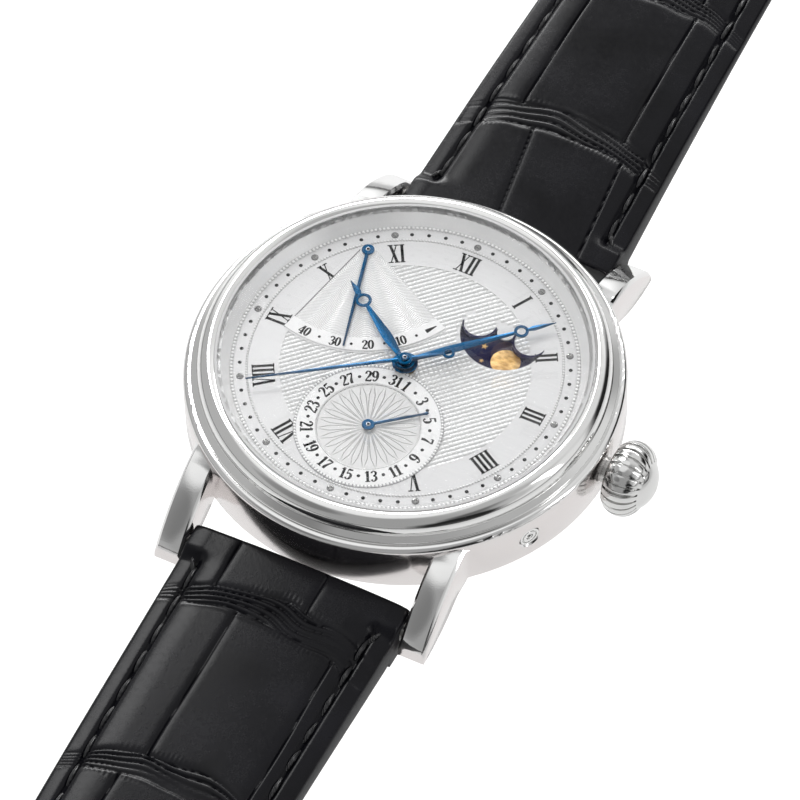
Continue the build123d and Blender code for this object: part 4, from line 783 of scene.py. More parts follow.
dialLook = {
    "centreRadius": 11.67, "cutFloor": dialTop - 0.076, "cutTop": dialTop + 0.02, "cutPitch": 0.455,
    "cutSaddle": 0.3, "holeRoom": 1.15, "printLow": dialTop + 0.002, "printHeight": 0.012,
    "beadCircle": 14.63, "beadRadius": 0.145, "rimCircle": 16.05, "rimBead": 0.19, "trackCircle": 15.82,
    "dotCircle": 15.28, "dotRadius": 0.185, "studCircle": 15.25, "studRadius": 0.275,
}
dateLook = {
    "centre": (0.0, -7.55), "centreRadius": 4.77, "floor": dialTop - 0.135, "rays": 26, "rayWidth": 0.036,
    "rayStart": 0.35, "rayDepth": 0.07, "rayTop": 0.078, "ringOuter": 6.62, "ringTop": dialTop + 0.04,
    "rimCircle": 6.78, "rimBead": 0.165, "innerCircle": 4.86, "innerBead": 0.075,
    "numberCircle": 5.66, "numberHeight": 1.2, "dotRadius": 0.165, "readFromBelow": (9, 21),
}
reserveLook = {
    "centre": (-9.05, 10.45), "start": -105.6, "end": -25.4, "scaleInner": 10.12, "scaleOuter": 11.6,
    "scaleTop": dialTop + 0.11, "floor": dialTop + 0.02, "linePitch": 0.205, "lineDepth": 0.045,
    "swell": 0.042, "swellTurn": 21.5, "swellStart": -86.0, "wallHalf": 0.035, "seatRadius": 0.76,
    "tangent": 0.68,
    "numberCircle": 10.92, "numberHeight": 1.02, "firstNumber": -5.9, "numberStep": 16.2, "dotRadius": 0.14,
}
moonLook = {
    "centre": (6.65, 7.4), "windowRadius": 4.17, "windowTop": 0.75, "humpOffset": 2.54, "humpRadius": 1.65,
    "moonOrbit": 2.95, "moonRadius": 1.4, "moonAngle": 153.2,
    # arcs are centre and radius; turns the first and last angle; the box half width, foot and top
    "borderArc": (2.6, 0.12, 1.54), "borderTurns": (-11.5, -186.5),
    "tongueArc": (0.06, 0.12, 0.83), "tongueBox": (1.13, 0.22, 0.84),
    "stars": [
        # distance from the middle, place on the dial in degrees, size; the far half has the same stars
        (2.2, 213.3, 0.35), (3.53, 192.4, 0.26), (3.72, 251.0, 0.11), (3.9, 275.0, 0.22), (1.5, 245.0, 0.2),
        (2.6, 290.0, 0.24),
    ],
}


def fanAngles(radius):
    # the straight sides of the fan are tangents of a small circle round its pivot
    tangent = reserveLook["tangent"]
    lean = math.degrees(math.acos(min(tangent / radius, 1.0)))
    full = math.degrees(math.acos(tangent / reserveLook["scaleInner"]))
    return reserveLook["start"] - full + lean, reserveLook["end"] + full - lean


def insideReserve(x, y, margin=0.0):
    dx = x - reserveLook["centre"][0]
    dy = y - reserveLook["centre"][1]
    for angle in fanAngles(reserveLook["tangent"]):
        turn = math.radians(angle)
        if dx * math.cos(turn) + dy * math.sin(turn) > reserveLook["tangent"] + margin:
            return False
    return math.hypot(dx, dy) < reserveLook["scaleOuter"] + margin


def insideDate(x, y, margin=0.0):
    return math.hypot(x - dateLook["centre"][0], y - dateLook["centre"][1]) < dateLook["rimCircle"] + margin


def insideMoonWindow(x, y, margin=0.0):
    dx = x - moonLook["centre"][0]
    dy = y - moonLook["centre"][1]
    if dy > moonLook["windowTop"] + margin or math.hypot(dx, dy) > moonLook["windowRadius"] + margin:
        return False
    nearest = min(math.hypot(dx - side * moonLook["humpOffset"], dy) for side in (1, -1))
    return nearest > moonLook["humpRadius"] - margin


def closedStrip(rows, low, high):
    # flat strip between two lines, each row holding the two points across it
    points = []
    for (x0, y0), (x1, y1) in rows:
        points += [(x0, y0, low), (x0, y0, high), (x1, y1, high), (x1, y1, low)]
    faces = sheetFaces(len(rows), 4, closeColumns=True)
    faces.append([3, 2, 1, 0])
    faces.append([4 * (len(rows) - 1) + index for index in range(4)])
    return points, faces


def windowBorder(look):
    # painted shade: a dark sheet in the night lacquer that thickens the horns of the moon window, where the
    # window lies in shadow
    x0, y0, radius = look["borderArc"]
    first, last = look["borderTurns"]
    reach = look["humpRadius"] + 0.02
    shapes = []
    for side in (1, -1):
        rows = []
        for turn in np.radians(np.linspace(first, last, 41)[::side]):
            rows.append(((side * (look["humpOffset"] + reach * math.cos(turn)), reach * math.sin(turn)),
                         (side * (x0 + radius * math.cos(turn)), y0 + radius * math.sin(turn))))
        shapes.append(closedStrip(rows, corners("moon_disc")[1][2] + 0.05, dialTop + 0.03))
    return placed(joined(shapes), 0, (*look["centre"], 0))


def windowTongue(look):
    # round tongue of the dial between the two humps of the window
    x0, y0, radius = look["tongueArc"]
    half, foot, top = look["tongueBox"]
    rows = [((-half, top), (-half, foot))]
    for turn in np.linspace(math.pi, 2 * math.pi, 33):
        x = x0 + radius * math.cos(turn)
        rows.append(((x, top), (x, y0 + radius * math.sin(turn))))
    rows.append(((half, top), (half, foot)))
    return placed(closedStrip(rows, dialTop - 0.14, dialTop + 0.008), 0, (*look["centre"], 0))


def hobnailField():
    # rows of small pyramids on a square grid that stands on its corner, cut deeper along the rows
    pitch = dialLook["cutPitch"]
    saddle = dialLook["cutSaddle"]
    reach = int(dialLook["centreRadius"] / pitch) + 2
    points = []
    faces = []
    known = {}
    slant = math.sqrt(0.5)

    def placeOf(a, b):
        return (a - b) * slant * pitch, (a + b) * slant * pitch

    def cornerPoint(a, b, share=0.0):
        if (a, b) not in known:
            known[(a, b)] = len(points)
            points.append((*placeOf(a, b), dialLook["cutFloor"] * (1 - share) + dialLook["cutTop"] * share))
        return known[(a, b)]

    for a in range(-reach, reach):
        for b in range(-reach, reach):
            x, y = placeOf(a + 0.5, b + 0.5)
            away = math.hypot(x, y)
            if away > dialLook["centreRadius"] + 0.1 or away < dialLook["holeRoom"]:
                continue
            if insideReserve(x, y, -0.15) or insideDate(x, y, -0.2) or insideMoonWindow(x, y, 0.22):
                continue
            ring = [cornerPoint(a, b), cornerPoint(a + 1, b), cornerPoint(a + 1, b + 0.5, saddle),
                    cornerPoint(a + 1, b + 1), cornerPoint(a, b + 1), cornerPoint(a, b + 0.5, saddle)]
            top = len(points)
            points.append((x, y, dialLook["cutTop"]))
            for side in range(6):
                faces.append([ring[side], ring[(side + 1) % 6], top])
    return points, faces


def reserveWaves(look):
    # concentric cut lines that swell in and out along the fan
    pitch = look["linePitch"] / 2
    count = int((look["scaleInner"] * (1 + look["swell"]) + 0.3 - look["tangent"]) / pitch)
    turns = 96
    points = []
    for row in range(count + 1):
        base = look["tangent"] + row * pitch
        high = row % 2 == 0
        first, last = fanAngles(min(base, look["scaleInner"]))
        for step in range(turns + 1):
            angle = first + (last - first) * step / turns
            beat = 2 * math.pi * (angle - look["swellStart"]) / look["swellTurn"]
            swell = look["swell"] * base * math.cos(beat)
            radius = min(max(base + swell, 0.3), look["scaleInner"] + 0.1 + 0.0005 * row)
            turn = math.radians(angle)
            height = look["floor"] + (look["lineDepth"] if high else 0.0)
            points.append((radius * math.cos(turn), radius * math.sin(turn), height))
    shape = (points, sheetFaces(count + 1, turns + 1))
    return placed(shape, 0, (*look["centre"], 0))


def sectorBand(look, inner, outer, low, high, start, end, bevel=0.03):
    # flat band between two radii and two angles, with a soft upper edge
    turns = 60
    profile = [(inner, low), (inner, high - bevel), (inner + bevel, high), (outer - bevel, high),
               (outer, high - bevel), (outer, low)]
    points = []
    for step in range(turns + 1):
        turn = math.radians(start + (end - start) * step / turns)
        points += [(radius * math.cos(turn), radius * math.sin(turn), height) for radius, height in profile]
    faces = sheetFaces(turns + 1, len(profile), closeColumns=True)
    faces.append(list(range(len(profile)))[::-1])
    faces.append([turns * len(profile) + index for index in range(len(profile))])
    return placed((points, faces), 0, (*look["centre"], 0))


def sectorRims(look):
    # thin walls along the two straight sides of the fan
    shapes = []
    half = look["wallHalf"]
    for near, far in zip(fanAngles(look["tangent"]), (look["start"], look["end"])):
        x0, y0 = (look["tangent"] * function(math.radians(near)) for function in (math.cos, math.sin))
        x1, y1 = (look["scaleInner"] * function(math.radians(far)) for function in (math.cos, math.sin))
        length = math.hypot(x1 - x0, y1 - y0)
        wall = prism([(0, -half), (length, -half), (length, half), (0, half)],
                     dialTop - 0.02, look["floor"] + look["lineDepth"] + 0.008)
        turn = math.degrees(math.atan2(y1 - y0, x1 - x0))
        shapes.append(placed(wall, turn, (look["centre"][0] + x0, look["centre"][1] + y0, 0)))
    return shapes


def sunburst(look):
    # pairs of cut lines that part near the middle and meet again at the edge
    rings = 30
    start = look["rayStart"]
    step = 360 / look["rays"]
    points = []
    for ring in range(rings + 1):
        share = ring / rings
        radius = start + (look["centreRadius"] - 0.02 - start) * share
        half = step / 4 * (1 + 0.5 * math.sin(math.pi * min(share * 1.15, 1.0)))
        half *= min(1.0, 0.08 + 3.2 * (1 - share) ** 0.9)
        groove = min(math.degrees(look["rayWidth"] / radius), step / 12, half * 0.9)
        deep = look["rayDepth"] * min(1.0, (1 - share) * 7, radius / 1.8)
        for ray in range(look["rays"]):
            for side in (-1, 1):
                for offset in (-1, 0, 1):
                    turn = math.radians(ray * step + side * half + offset * groove)
                    height = look["floor"] + look["rayTop"] - (0.0 if offset else deep)
                    points.append((radius * math.cos(turn), radius * math.sin(turn), height))
    shape = (points, sheetFaces(rings + 1, 6 * look["rays"], closeColumns=True))
    return placed(shape, 0, (*look["centre"], 0))


def beadCircle(centre, radius, bead, low, height, skip=None, sides=8):
    count = round(2 * math.pi * radius / (2.06 * bead))
    shapes = []
    for index in range(count):
        x, y = clockPoint(radius, index * 360 / count, centre)
        if skip is None or not skip(x, y):
            shapes.append(dome(x, y, bead, low, height, sides))
    return joined(shapes)


def printedDots(places, radius, low):
    high = low + dialLook["printHeight"]
    return joined([lathe([(radius, low), (radius, high), (0.0, high)], 16, place) for place in places])


def onDial(name, shape, finish, edgeAngle=30):
    addPiece(name, shape, finish, "case", edgeAngle)


def makeReserveSector(look):
    onDial("dial_reserve_waves", reserveWaves(look), "waves", 10)
    band = sectorBand(look, look["scaleInner"], look["scaleOuter"], dialTop - 0.05, look["scaleTop"],
                      look["start"], look["end"])
    onDial("dial_reserve_scale", band, "lacquer")
    # the left wall is painted dark as the shadow of the step along the fan's left side; the right one keeps
    # the dial's colour
    leftWall, rightWall = sectorRims(look)
    onDial("dial_reserve_left_shadow_line", leftWall, "shadowLine")
    onDial("dial_reserve_right_edge", rightWall, "dial")
    seat = look["seatRadius"]
    profile = [(0.3, dialTop + 0.1), (seat - 0.04, dialTop + 0.1), (seat, dialTop + 0.07), (seat, dialTop)]
    onDial("dial_reserve_seat", lathe(profile, 48, look["centre"]), "lacquer")


def makeDateDial(look):
    centre = look["centre"]
    inner = look["centreRadius"]
    outer = look["ringOuter"]
    high = look["ringTop"]
    onDial("dial_date_sunburst", sunburst(look), "rays", 10)
    profile = [(inner, look["floor"]), (inner, high - 0.03), (inner + 0.03, high), (outer, high),
               (outer + 0.28, high - 0.02), (outer + 0.3, dialTop - 0.08)]
    onDial("dial_date_ring", lathe(profile, 160, centre), "lacquer")
    beads = joined([
        beadCircle(centre, look["rimCircle"], look["rimBead"], high - 0.04, 0.16),
        beadCircle(centre, look["innerCircle"], look["innerBead"], high - 0.01, 0.09, None, 6),
    ])
    onDial("dial_date_beads", beads, "beads", 60)
    # painted shade: a grey ring under the rim beads that shows as shade in the gaps between them
    profile = [(outer + 0.03, high + 0.002), (outer + 0.03, high + 0.006), (outer + 0.31, high + 0.006),
               (outer + 0.32, dialTop)]
    onDial("dial_date_bead_shadow_ring", lathe(profile, 160, centre), "softShadowLine")


def makeMinuteTrack(look):
    def covered(x, y):
        return insideReserve(x, y, 0.1) or insideDate(x, y, 0.1)

    rims = joined([
        beadCircle((0, 0), look["beadCircle"], look["beadRadius"], dialTop, 0.13, covered, 6),
        beadCircle((0, 0), look["rimCircle"], look["rimBead"], dialTop, 0.18, None, 6),
    ])
    onDial("dial_bead_circles", rims, "beads", 60)
    radius = look["trackCircle"]
    profile = [(radius - 0.05, dialTop - 0.01), (radius - 0.02, dialTop + 0.02),
               (radius + 0.02, dialTop + 0.02), (radius + 0.05, dialTop - 0.01)]
    onDial("dial_track_line", lathe(profile, 180), "dial")
    minutes = [clockPoint(look["dotCircle"], 6 * index) for index in range(60) if index % 5]
    onDial("dial_minute_dots", printedDots(minutes, look["dotRadius"], look["printLow"]), "ink")
    size = look["studRadius"]
    stud = [(size, dialTop), (size, dialTop + 0.06), (size * 0.82, dialTop + 0.08),
            (size * 0.7, dialTop + 0.03), (size * 0.62, dialTop + 0.03), (size * 0.4, dialTop + 0.15),
            (0, dialTop + 0.19)]
    # painted shadow: a dark ring round the foot of each stud and a second one in its dish
    seat = [(size - 0.01, dialTop), (size - 0.01, dialTop + 0.03), (size + 0.07, dialTop + 0.03),
            (size + 0.075, dialTop)]
    groove = [(size * 0.74, dialTop + 0.05), (size * 0.48, dialTop + 0.05)]
    hours = [clockPoint(look["studCircle"], 30 * index) for index in range(12)]
    onDial("dial_hour_studs", joined([lathe(stud, 20, place) for place in hours]), "studs", 45)
    studShadowRings = [lathe(profile, 24, place) for profile in (seat, groove) for place in hours]
    onDial("dial_stud_shadow_rings", joined(studShadowRings), "shadowLine", 45)


def makeDial():
    onDial("dial_window_shade_border", windowBorder(moonLook), "night")
    onDial("dial_window_tongue", windowTongue(moonLook), "dial")
    onDial("dial_hobnail", hobnailField(), "hobnail", 10)
    makeReserveSector(reserveLook)
    makeDateDial(dateLook)
    makeMinuteTrack(dialLook)


# ---- numerals, drawn from strokes

romanLook = {
    "height": 2.1, "middle": 13.08, "thick": 0.138, "thin": 0.052, "serif": 0.235, "serifHalf": 0.055,
    "advance": {"I": 0.5, "V": 1.06, "X": 1.1},
    # each bar runs from its place at the top to its place at the bottom; each foot is a place and an end
    "bars": {"I": [(0, 0, "thick")], "V": [(-0.31, 0.04, "thick"), (0.35, 0.07, "thin")],
             "X": [(-0.29, 0.29, "thick"), (0.3, -0.3, "thin")]},
    "feet": {"I": [(0, 1), (0, -1)], "V": [(-0.31, 1), (0.35, 1)],
             "X": [(-0.29, 1), (0.3, 1), (0.29, -1), (-0.3, -1)]},
    "names": {1: "I", 2: "II", 3: "III", 4: "IIII", 5: "V", 7: "VII", 8: "VIII", 9: "IX", 10: "X", 11: "XI",
              12: "XII"},
}


def romanNumeral(text, look, low, high):
    half = look["height"] / 2
    start = -sum(look["advance"][letter] for letter in text) / 2
    shapes = []
    for letter in text:
        middle = start + look["advance"][letter] / 2
        start += look["advance"][letter]
        for top, bottom, weight in look["bars"][letter]:
            wide = look[weight]
            shapes.append(prism([(middle + top - wide, half), (middle + top + wide, half),
                                 (middle + bottom + wide, -half), (middle + bottom - wide, -half)], low,
                                 high))
        for shift, side in look["feet"][letter]:
            left = middle + shift - look["serif"]
            right = middle + shift + look["serif"]
            edge = side * (half - look["serifHalf"])
            lower = edge - look["serifHalf"]
            upper = edge + look["serifHalf"]
            shapes.append(prism([(left, lower), (right, lower), (right, upper), (left, upper)], low, high))
    return joined(shapes)


# each digit is a few strokes of (x, y, half width) in a box one high
digitWeight = 1.24
digitWidth = {"0": 0.54, "1": 0.46, "2": 0.54, "3": 0.54, "4": 0.56, "5": 0.54, "7": 0.54, "9": 0.54}
digitStrokes = {
    "0": [[(0.27 + 0.19 * math.sin(turn), 0.5 + 0.46 * math.cos(turn), 0.032 + 0.052 * abs(math.sin(turn)))
           for turn in [2 * math.pi * step / 16 for step in range(17)]]],
    "1": [[(0.25, 0.03, 0.082), (0.25, 0.5, 0.082), (0.25, 0.99, 0.082)],
          [(0.06, 0.80, 0.02), (0.14, 0.86, 0.035), (0.25, 0.965, 0.035)],
          [(0.06, 0.03, 0.032), (0.25, 0.03, 0.032), (0.44, 0.03, 0.032)]],
    "2": [[(0.11, 0.72, 0.075), (0.09, 0.84, 0.05), (0.25, 0.965, 0.036), (0.42, 0.83, 0.075),
           (0.40, 0.63, 0.08), (0.22, 0.34, 0.045), (0.06, 0.08, 0.03)],
          [(0.05, 0.06, 0.062), (0.25, 0.07, 0.062), (0.44, 0.06, 0.062), (0.49, 0.20, 0.02)]],
    "3": [[(0.11, 0.78, 0.07), (0.13, 0.90, 0.045), (0.26, 0.965, 0.036), (0.41, 0.83, 0.07),
           (0.38, 0.62, 0.055), (0.21, 0.52, 0.03)],
          [(0.21, 0.52, 0.03), (0.40, 0.44, 0.06), (0.43, 0.23, 0.085), (0.31, 0.05, 0.045),
           (0.16, 0.04, 0.04), (0.10, 0.19, 0.075)]],
    "4": [[(0.38, 0.02, 0.08), (0.38, 0.5, 0.08), (0.38, 0.98, 0.08)],
          [(0.36, 0.96, 0.03), (0.20, 0.62, 0.03), (0.04, 0.30, 0.03)],
          [(0.03, 0.28, 0.038), (0.28, 0.28, 0.038), (0.54, 0.28, 0.038)],
          [(0.20, 0.03, 0.03), (0.38, 0.03, 0.03), (0.54, 0.03, 0.03)]],
    "5": [[(0.12, 0.92, 0.062), (0.28, 0.915, 0.062), (0.45, 0.94, 0.05)],
          [(0.12, 0.95, 0.028), (0.11, 0.75, 0.028), (0.10, 0.50, 0.028)],
          [(0.10, 0.50, 0.03), (0.25, 0.60, 0.042), (0.42, 0.47, 0.075), (0.42, 0.21, 0.085),
           (0.28, 0.04, 0.04), (0.14, 0.05, 0.04), (0.09, 0.18, 0.07)]],
    "7": [[(0.07, 0.74, 0.02), (0.08, 0.88, 0.03), (0.10, 0.97, 0.03)],
          [(0.08, 0.92, 0.06), (0.28, 0.92, 0.06), (0.49, 0.93, 0.055)],
          [(0.48, 0.92, 0.035), (0.34, 0.58, 0.055), (0.24, 0.28, 0.085), (0.22, 0.02, 0.09)]],
    "9": [[(0.26 + 0.18 * math.sin(turn), 0.68 + 0.285 * math.cos(turn),
            0.030 + 0.052 * abs(math.sin(turn)))
           for turn in [2 * math.pi * step / 14 for step in range(15)]],
          [(0.45, 0.68, 0.08), (0.44, 0.40, 0.07), (0.33, 0.12, 0.045), (0.18, 0.04, 0.04),
           (0.11, 0.17, 0.07)]],
}


def number(text, height, low, high):
    # digits side by side, centred on the origin
    total = sum(digitWidth[digit] for digit in text)
    start = -total / 2
    shapes = []
    for digit in text:
        for stroke in digitStrokes[digit]:
            x, y, half = smoothLine(stroke, 5).T
            line = np.stack([x + start, y - 0.5, half * digitWeight], 1) * height
            shapes.append(ribbon(line, low, high))
        start += digitWidth[digit]
    return joined(shapes)


def makeNumerals():
    low = dialLook["printLow"]
    high = low + dialLook["printHeight"]
    shapes = []
    for hour, text in romanLook["names"].items():
        x, y = clockPoint(romanLook["middle"], 30 * hour)
        shapes.append(placed(romanNumeral(text, romanLook, low, high), -30 * hour, (x, y, 0)))
    onDial("dial_roman_numerals", joined(shapes), "ink")
    look = dateLook
    low = look["ringTop"] + 0.001
    high = low + dialLook["printHeight"]
    firstBelow, lastBelow = look["readFromBelow"]
    shapes = []
    for day in range(1, 32, 2):
        turn = day * 360 / 31
        x, y = clockPoint(look["numberCircle"], turn, look["centre"])
        lean = 180 if firstBelow <= day <= lastBelow else 0
        shapes.append(placed(number(str(day), look["numberHeight"], low, high), lean - turn, (x, y, 0)))
    dots = [clockPoint(look["numberCircle"], day * 360 / 31, look["centre"]) for day in range(2, 32, 2)]
    shapes.append(printedDots(dots, look["dotRadius"], low))
    onDial("dial_date_numbers", joined(shapes), "ink")
    look = reserveLook
    low = look["scaleTop"] + 0.001
    high = low + dialLook["printHeight"]
    shapes = []
    dots = []
    for index, text in enumerate(("40", "30", "20", "10")):
        turn = look["firstNumber"] + index * look["numberStep"]
        x, y = clockPoint(look["numberCircle"], 180 - turn, look["centre"])
        shapes.append(placed(number(text, look["numberHeight"], low, high), turn, (x, y, 0)))
        dots.append(clockPoint(look["numberCircle"], 180 - turn - look["numberStep"] / 2, look["centre"]))
    turn = look["firstNumber"] + 4 * look["numberStep"]
    x, y = clockPoint(look["numberCircle"], 180 - turn, look["centre"])
    wedge = prism([(-0.55, 0.24), (-0.55, -0.22), (0.6, -0.03), (0.6, 0.05)], low, high)
    shapes.append(placed(wedge, turn, (x, y, 0)))
    shapes.append(printedDots(dots, look["dotRadius"], low))
    onDial("dial_reserve_numbers", joined(shapes), "ink")


# ---- moon disc


def star(x, y, radius, low, high, turn):
    outline = []
    for point in range(10):
        reach = radius if point % 2 == 0 else radius * 0.42
        outline.append(clockPoint(reach, turn + point * 36, (x, y)))
    return prism(outline, low, high)


def makeMoonDisc(look):
    top = corners("moon_disc")[1][2]
    size = look["moonRadius"]
    profile = [(size, top), (size, top + 0.015), (size - 0.04, top + 0.03), (size * 0.5, top + 0.035),
               (0, top + 0.036)]
    moons = []
    stars = []
    for half in (0, 180):
        place = clockPoint(look["moonOrbit"], look["moonAngle"] + half, look["centre"])
        moons.append(lathe(profile, 40, place))
        for orbit, turn, radius in look["stars"]:
            x, y = clockPoint(orbit, turn - half, look["centre"])
            stars.append(star(x, y, radius, top, top + 0.02, (turn - half) * 3))
    addPiece("moon_faces", joined(moons), "moon", "moon_works", 50)
    addPiece("moon_stars", joined(stars), "moon", "moon_works")


# ---- hands, with a ridge along the arm

handLooks = {
    "hour_hand": {"body": "hour_works", "turn": 305.7,
                  "ring": (8.23, 0.73), "tip": 10.8, "hub": 1.2, "hole": 0.55,
                  "arm": [(0.9, 0.2), (1.7, 0.3), (3.3, 0.48), (5.2, 0.37), (7.6, 0.17)], "point": 0.31},
    "minute_hand": {"body": "minute_works", "turn": 46.9, "ring": (11.24, 0.65), "tip": 14.6, "hub": 0.95,
                    "hole": 0.42,
                    "arm": [(0.7, 0.22), (2.0, 0.31), (4.6, 0.43), (7.6, 0.31), (10.7, 0.16)],
                    "point": 0.27},
    "seconds_hand": {"body": "seconds_works", "turn": 235.5, "ring": (-4.07, 0.55), "tip": 14.8, "hub": 0.7,
                     "hole": 0.17,
                     "arm": [(-3.6, 0.14), (0.0, 0.19), (7.0, 0.17), (14.8, 0.085)], "point": 0.0},
    "date_hand": {"body": "date_works", "turn": 50.9, "ring": None, "tip": 5.7, "hub": 0.6, "hole": 0.17,
                  "arm": [(0.3, 0.16), (3.0, 0.135), (5.1, 0.11), (5.45, 0.16), (5.7, 0.05)], "point": 0.0},
    "power_reserve_hand": {"body": "reserve_works", "turn": 165.0, "ring": None, "tip": 11.35, "hub": 0.6,
                           "hole": 0.17, "arm": [(0.3, 0.17), (6.0, 0.155), (11.35, 0.085)], "point": 0.0},
}


def ridgedArm(stations, low, high):
    points = []
    for x, half in stations:
        edge = low + (high - low) * 0.45
        points += [(x, -half, low), (x, -half, edge), (x, 0, high), (x, half, edge), (x, half, low)]
    faces = sheetFaces(len(stations), 5, closeColumns=True)
    faces.append([0, 1, 2, 3, 4])
    last = 5 * (len(stations) - 1)
    faces.append([last + index for index in (4, 3, 2, 1, 0)])
    return points, faces


def openRing(inner, outer, low, high, centre=(0, 0), sides=40):
    soft = min(0.04, (outer - inner) * 0.3)
    profile = [(inner, low), (inner, high - soft), (inner + soft, high),
               (outer - soft, high), (outer, high - soft), (outer, low), (inner, low)]
    return lathe(profile, sides, centre)


def makeHand(name, look):
    low = corners(name)[0][2]
    high = corners(name)[1][2]
    if name == "seconds_hand":
        high = low + (corners("minute_hand")[1][2] - corners("minute_hand")[0][2])
    elif name == "power_reserve_hand":
        low = corners("date_hand")[0][2]
    armLine = smoothLine([(x, half, 0) for x, half in look["arm"]], 5)[:, :2]
    shapes = [ridgedArm(armLine, low, high), openRing(look["hole"], look["hub"], low, high)]
    if look["ring"]:
        reach, radius = look["ring"]
        shapes.append(openRing(radius - 0.25, radius + 0.04, low, high, (reach, 0)))
        if look["point"]:
            start = reach + radius - 0.06
            length = look["tip"] - start
            stations = [(start, 0.14), (start + 0.22 * length, look["point"]),
                        (start + 0.5 * length, look["point"] * 0.8), (look["tip"], 0.02)]
            shapes.append(ridgedArm(stations, low, high))
    if name == "seconds_hand":
        top = corners(name)[1][2]
        shapes.append(lathe([(0.17, low), (0.17, top), (0.3, top), (0.36, top - 0.05), (0.36, low)], 28))
    offCentre = {"date_hand": dateLook["centre"], "power_reserve_hand": reserveLook["centre"]}
    centre = offCentre.get(name, (0, 0))
    shape = placed(joined(shapes), 90 - look["turn"], (*centre, 0))
    hand = addPiece(name + "_blued", shape, "blued", look["body"], 22)
    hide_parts(name)


def makePins():
    # bright pivots in the middle of the three needle hands; the drilled end is a black disc, painted shade
    # for the bore
    size = 0.22
    for body, centre, top in (
        ("seconds_works", (0, 0), corners("seconds_hand")[1][2]),
        ("date_works", dateLook["centre"], corners("date_hand")[1][2]),
        ("reserve_works", reserveLook["centre"], corners("date_hand")[1][2]),
    ):
        end = [(size, top - 0.1), (size, top + 0.02), (size - 0.03, top + 0.04), (size * 0.6, top + 0.04),
               (size * 0.55, top + 0.01)]
        addPiece(body + "_pivot_end", lathe(end, 24, centre), "spring", body, 40)
        # painted shade: a flat black disc stands for the dark inside of the bore
        bore = [(size * 0.57, top + 0.02), (0, top + 0.022)]
        addPiece(body + "_pivot_bore_shade", lathe(bore, 20, centre), "ink", body, 40)


makeDial()
makeNumerals()
makeMoonDisc(moonLook)
for handName, handLook in handLooks.items():
    makeHand(handName, handLook)
makePins()
print("dial and hands made")


# ---- movement trimmings, seen through the back

movementLook = {
    "jewels": [(-4.27, 0.0, 0.75), (1.08, -4.04, 0.65), (2.72, -5.99, 0.6), (5.51, -9.32, 0.7)],
    "screws": [(13.3, 20.0), (13.3, 64.0), (13.3, 95.0), (13.3, 122.0), (13.3, 176.0), (13.3, 222.0),
               (12.6, 266.0)],
    "screwRadius": 0.85, "screwHeight": 0.16, "screwTurn": 37.0, "slotHalf": 0.12,
}


def slottedScrew(place, turn, level, look):
    # head hanging under the bridge: a round foot and two halves with the slot between them
    radius = look["screwRadius"]
    rise = look["screwHeight"]
    foot = level - rise * 0.4
    shapes = [lathe([(radius, level), (radius, foot), (0, foot)], 32, place)]
    edge = radius * 0.97
    gap = look["slotHalf"]
    corner = math.sqrt(edge ** 2 - gap ** 2)
    for side in (1, -1):
        angles = [math.radians(90 * side - 84 + 168 * step / 16) for step in range(17)]
        arc = [(edge * math.cos(angle), edge * math.sin(angle)) for angle in angles]
        arc = [(x, y) for x, y in arc if side * y >= gap]
        outline = [(side * corner, side * gap), *arc, (-side * corner, side * gap)]
        shapes.append(placed(prism(outline, level - rise, level - rise * 0.3), turn, (*place, 0)))
    return joined(shapes)


def makeMovementTrim(look):
    level = corners("train_bridge")[0][2]
    jewels = []
    settings = []
    for x, y, radius in look["jewels"]:
        cup = [(radius, level), (radius, level - 0.04), (radius * 0.45, level - 0.05),
               (radius * 0.25, level - 0.01), (radius * 0.14, level + 0.05)]
        jewels.append(lathe(cup, 32, (x, y)))
        rim = [(radius + 0.2, level), (radius + 0.17, level - 0.06), (radius + 0.02, level - 0.06),
               (radius, level)]
        settings.append(lathe(rim, 32, (x, y)))
    addPiece("bridge_jewels", joined(jewels), "ruby", "case", 40)
    addPiece("jewel_settings", joined(settings), "gilt", "case", 40)
    screws = []
    for index, (reach, angle) in enumerate(look["screws"]):
        turn = math.radians(angle)
        place = (reach * math.cos(turn), reach * math.sin(turn))
        screws.append(slottedScrew(place, look["screwTurn"] * index, level, look))
    addPiece("bridge_screws", joined(screws), "blued", "case", 30)


makeMovementTrim(movementLook)
print("movement trimmed")


# ---- strap: each half is worked out along its length from the bar, then placed at 12 or at 6

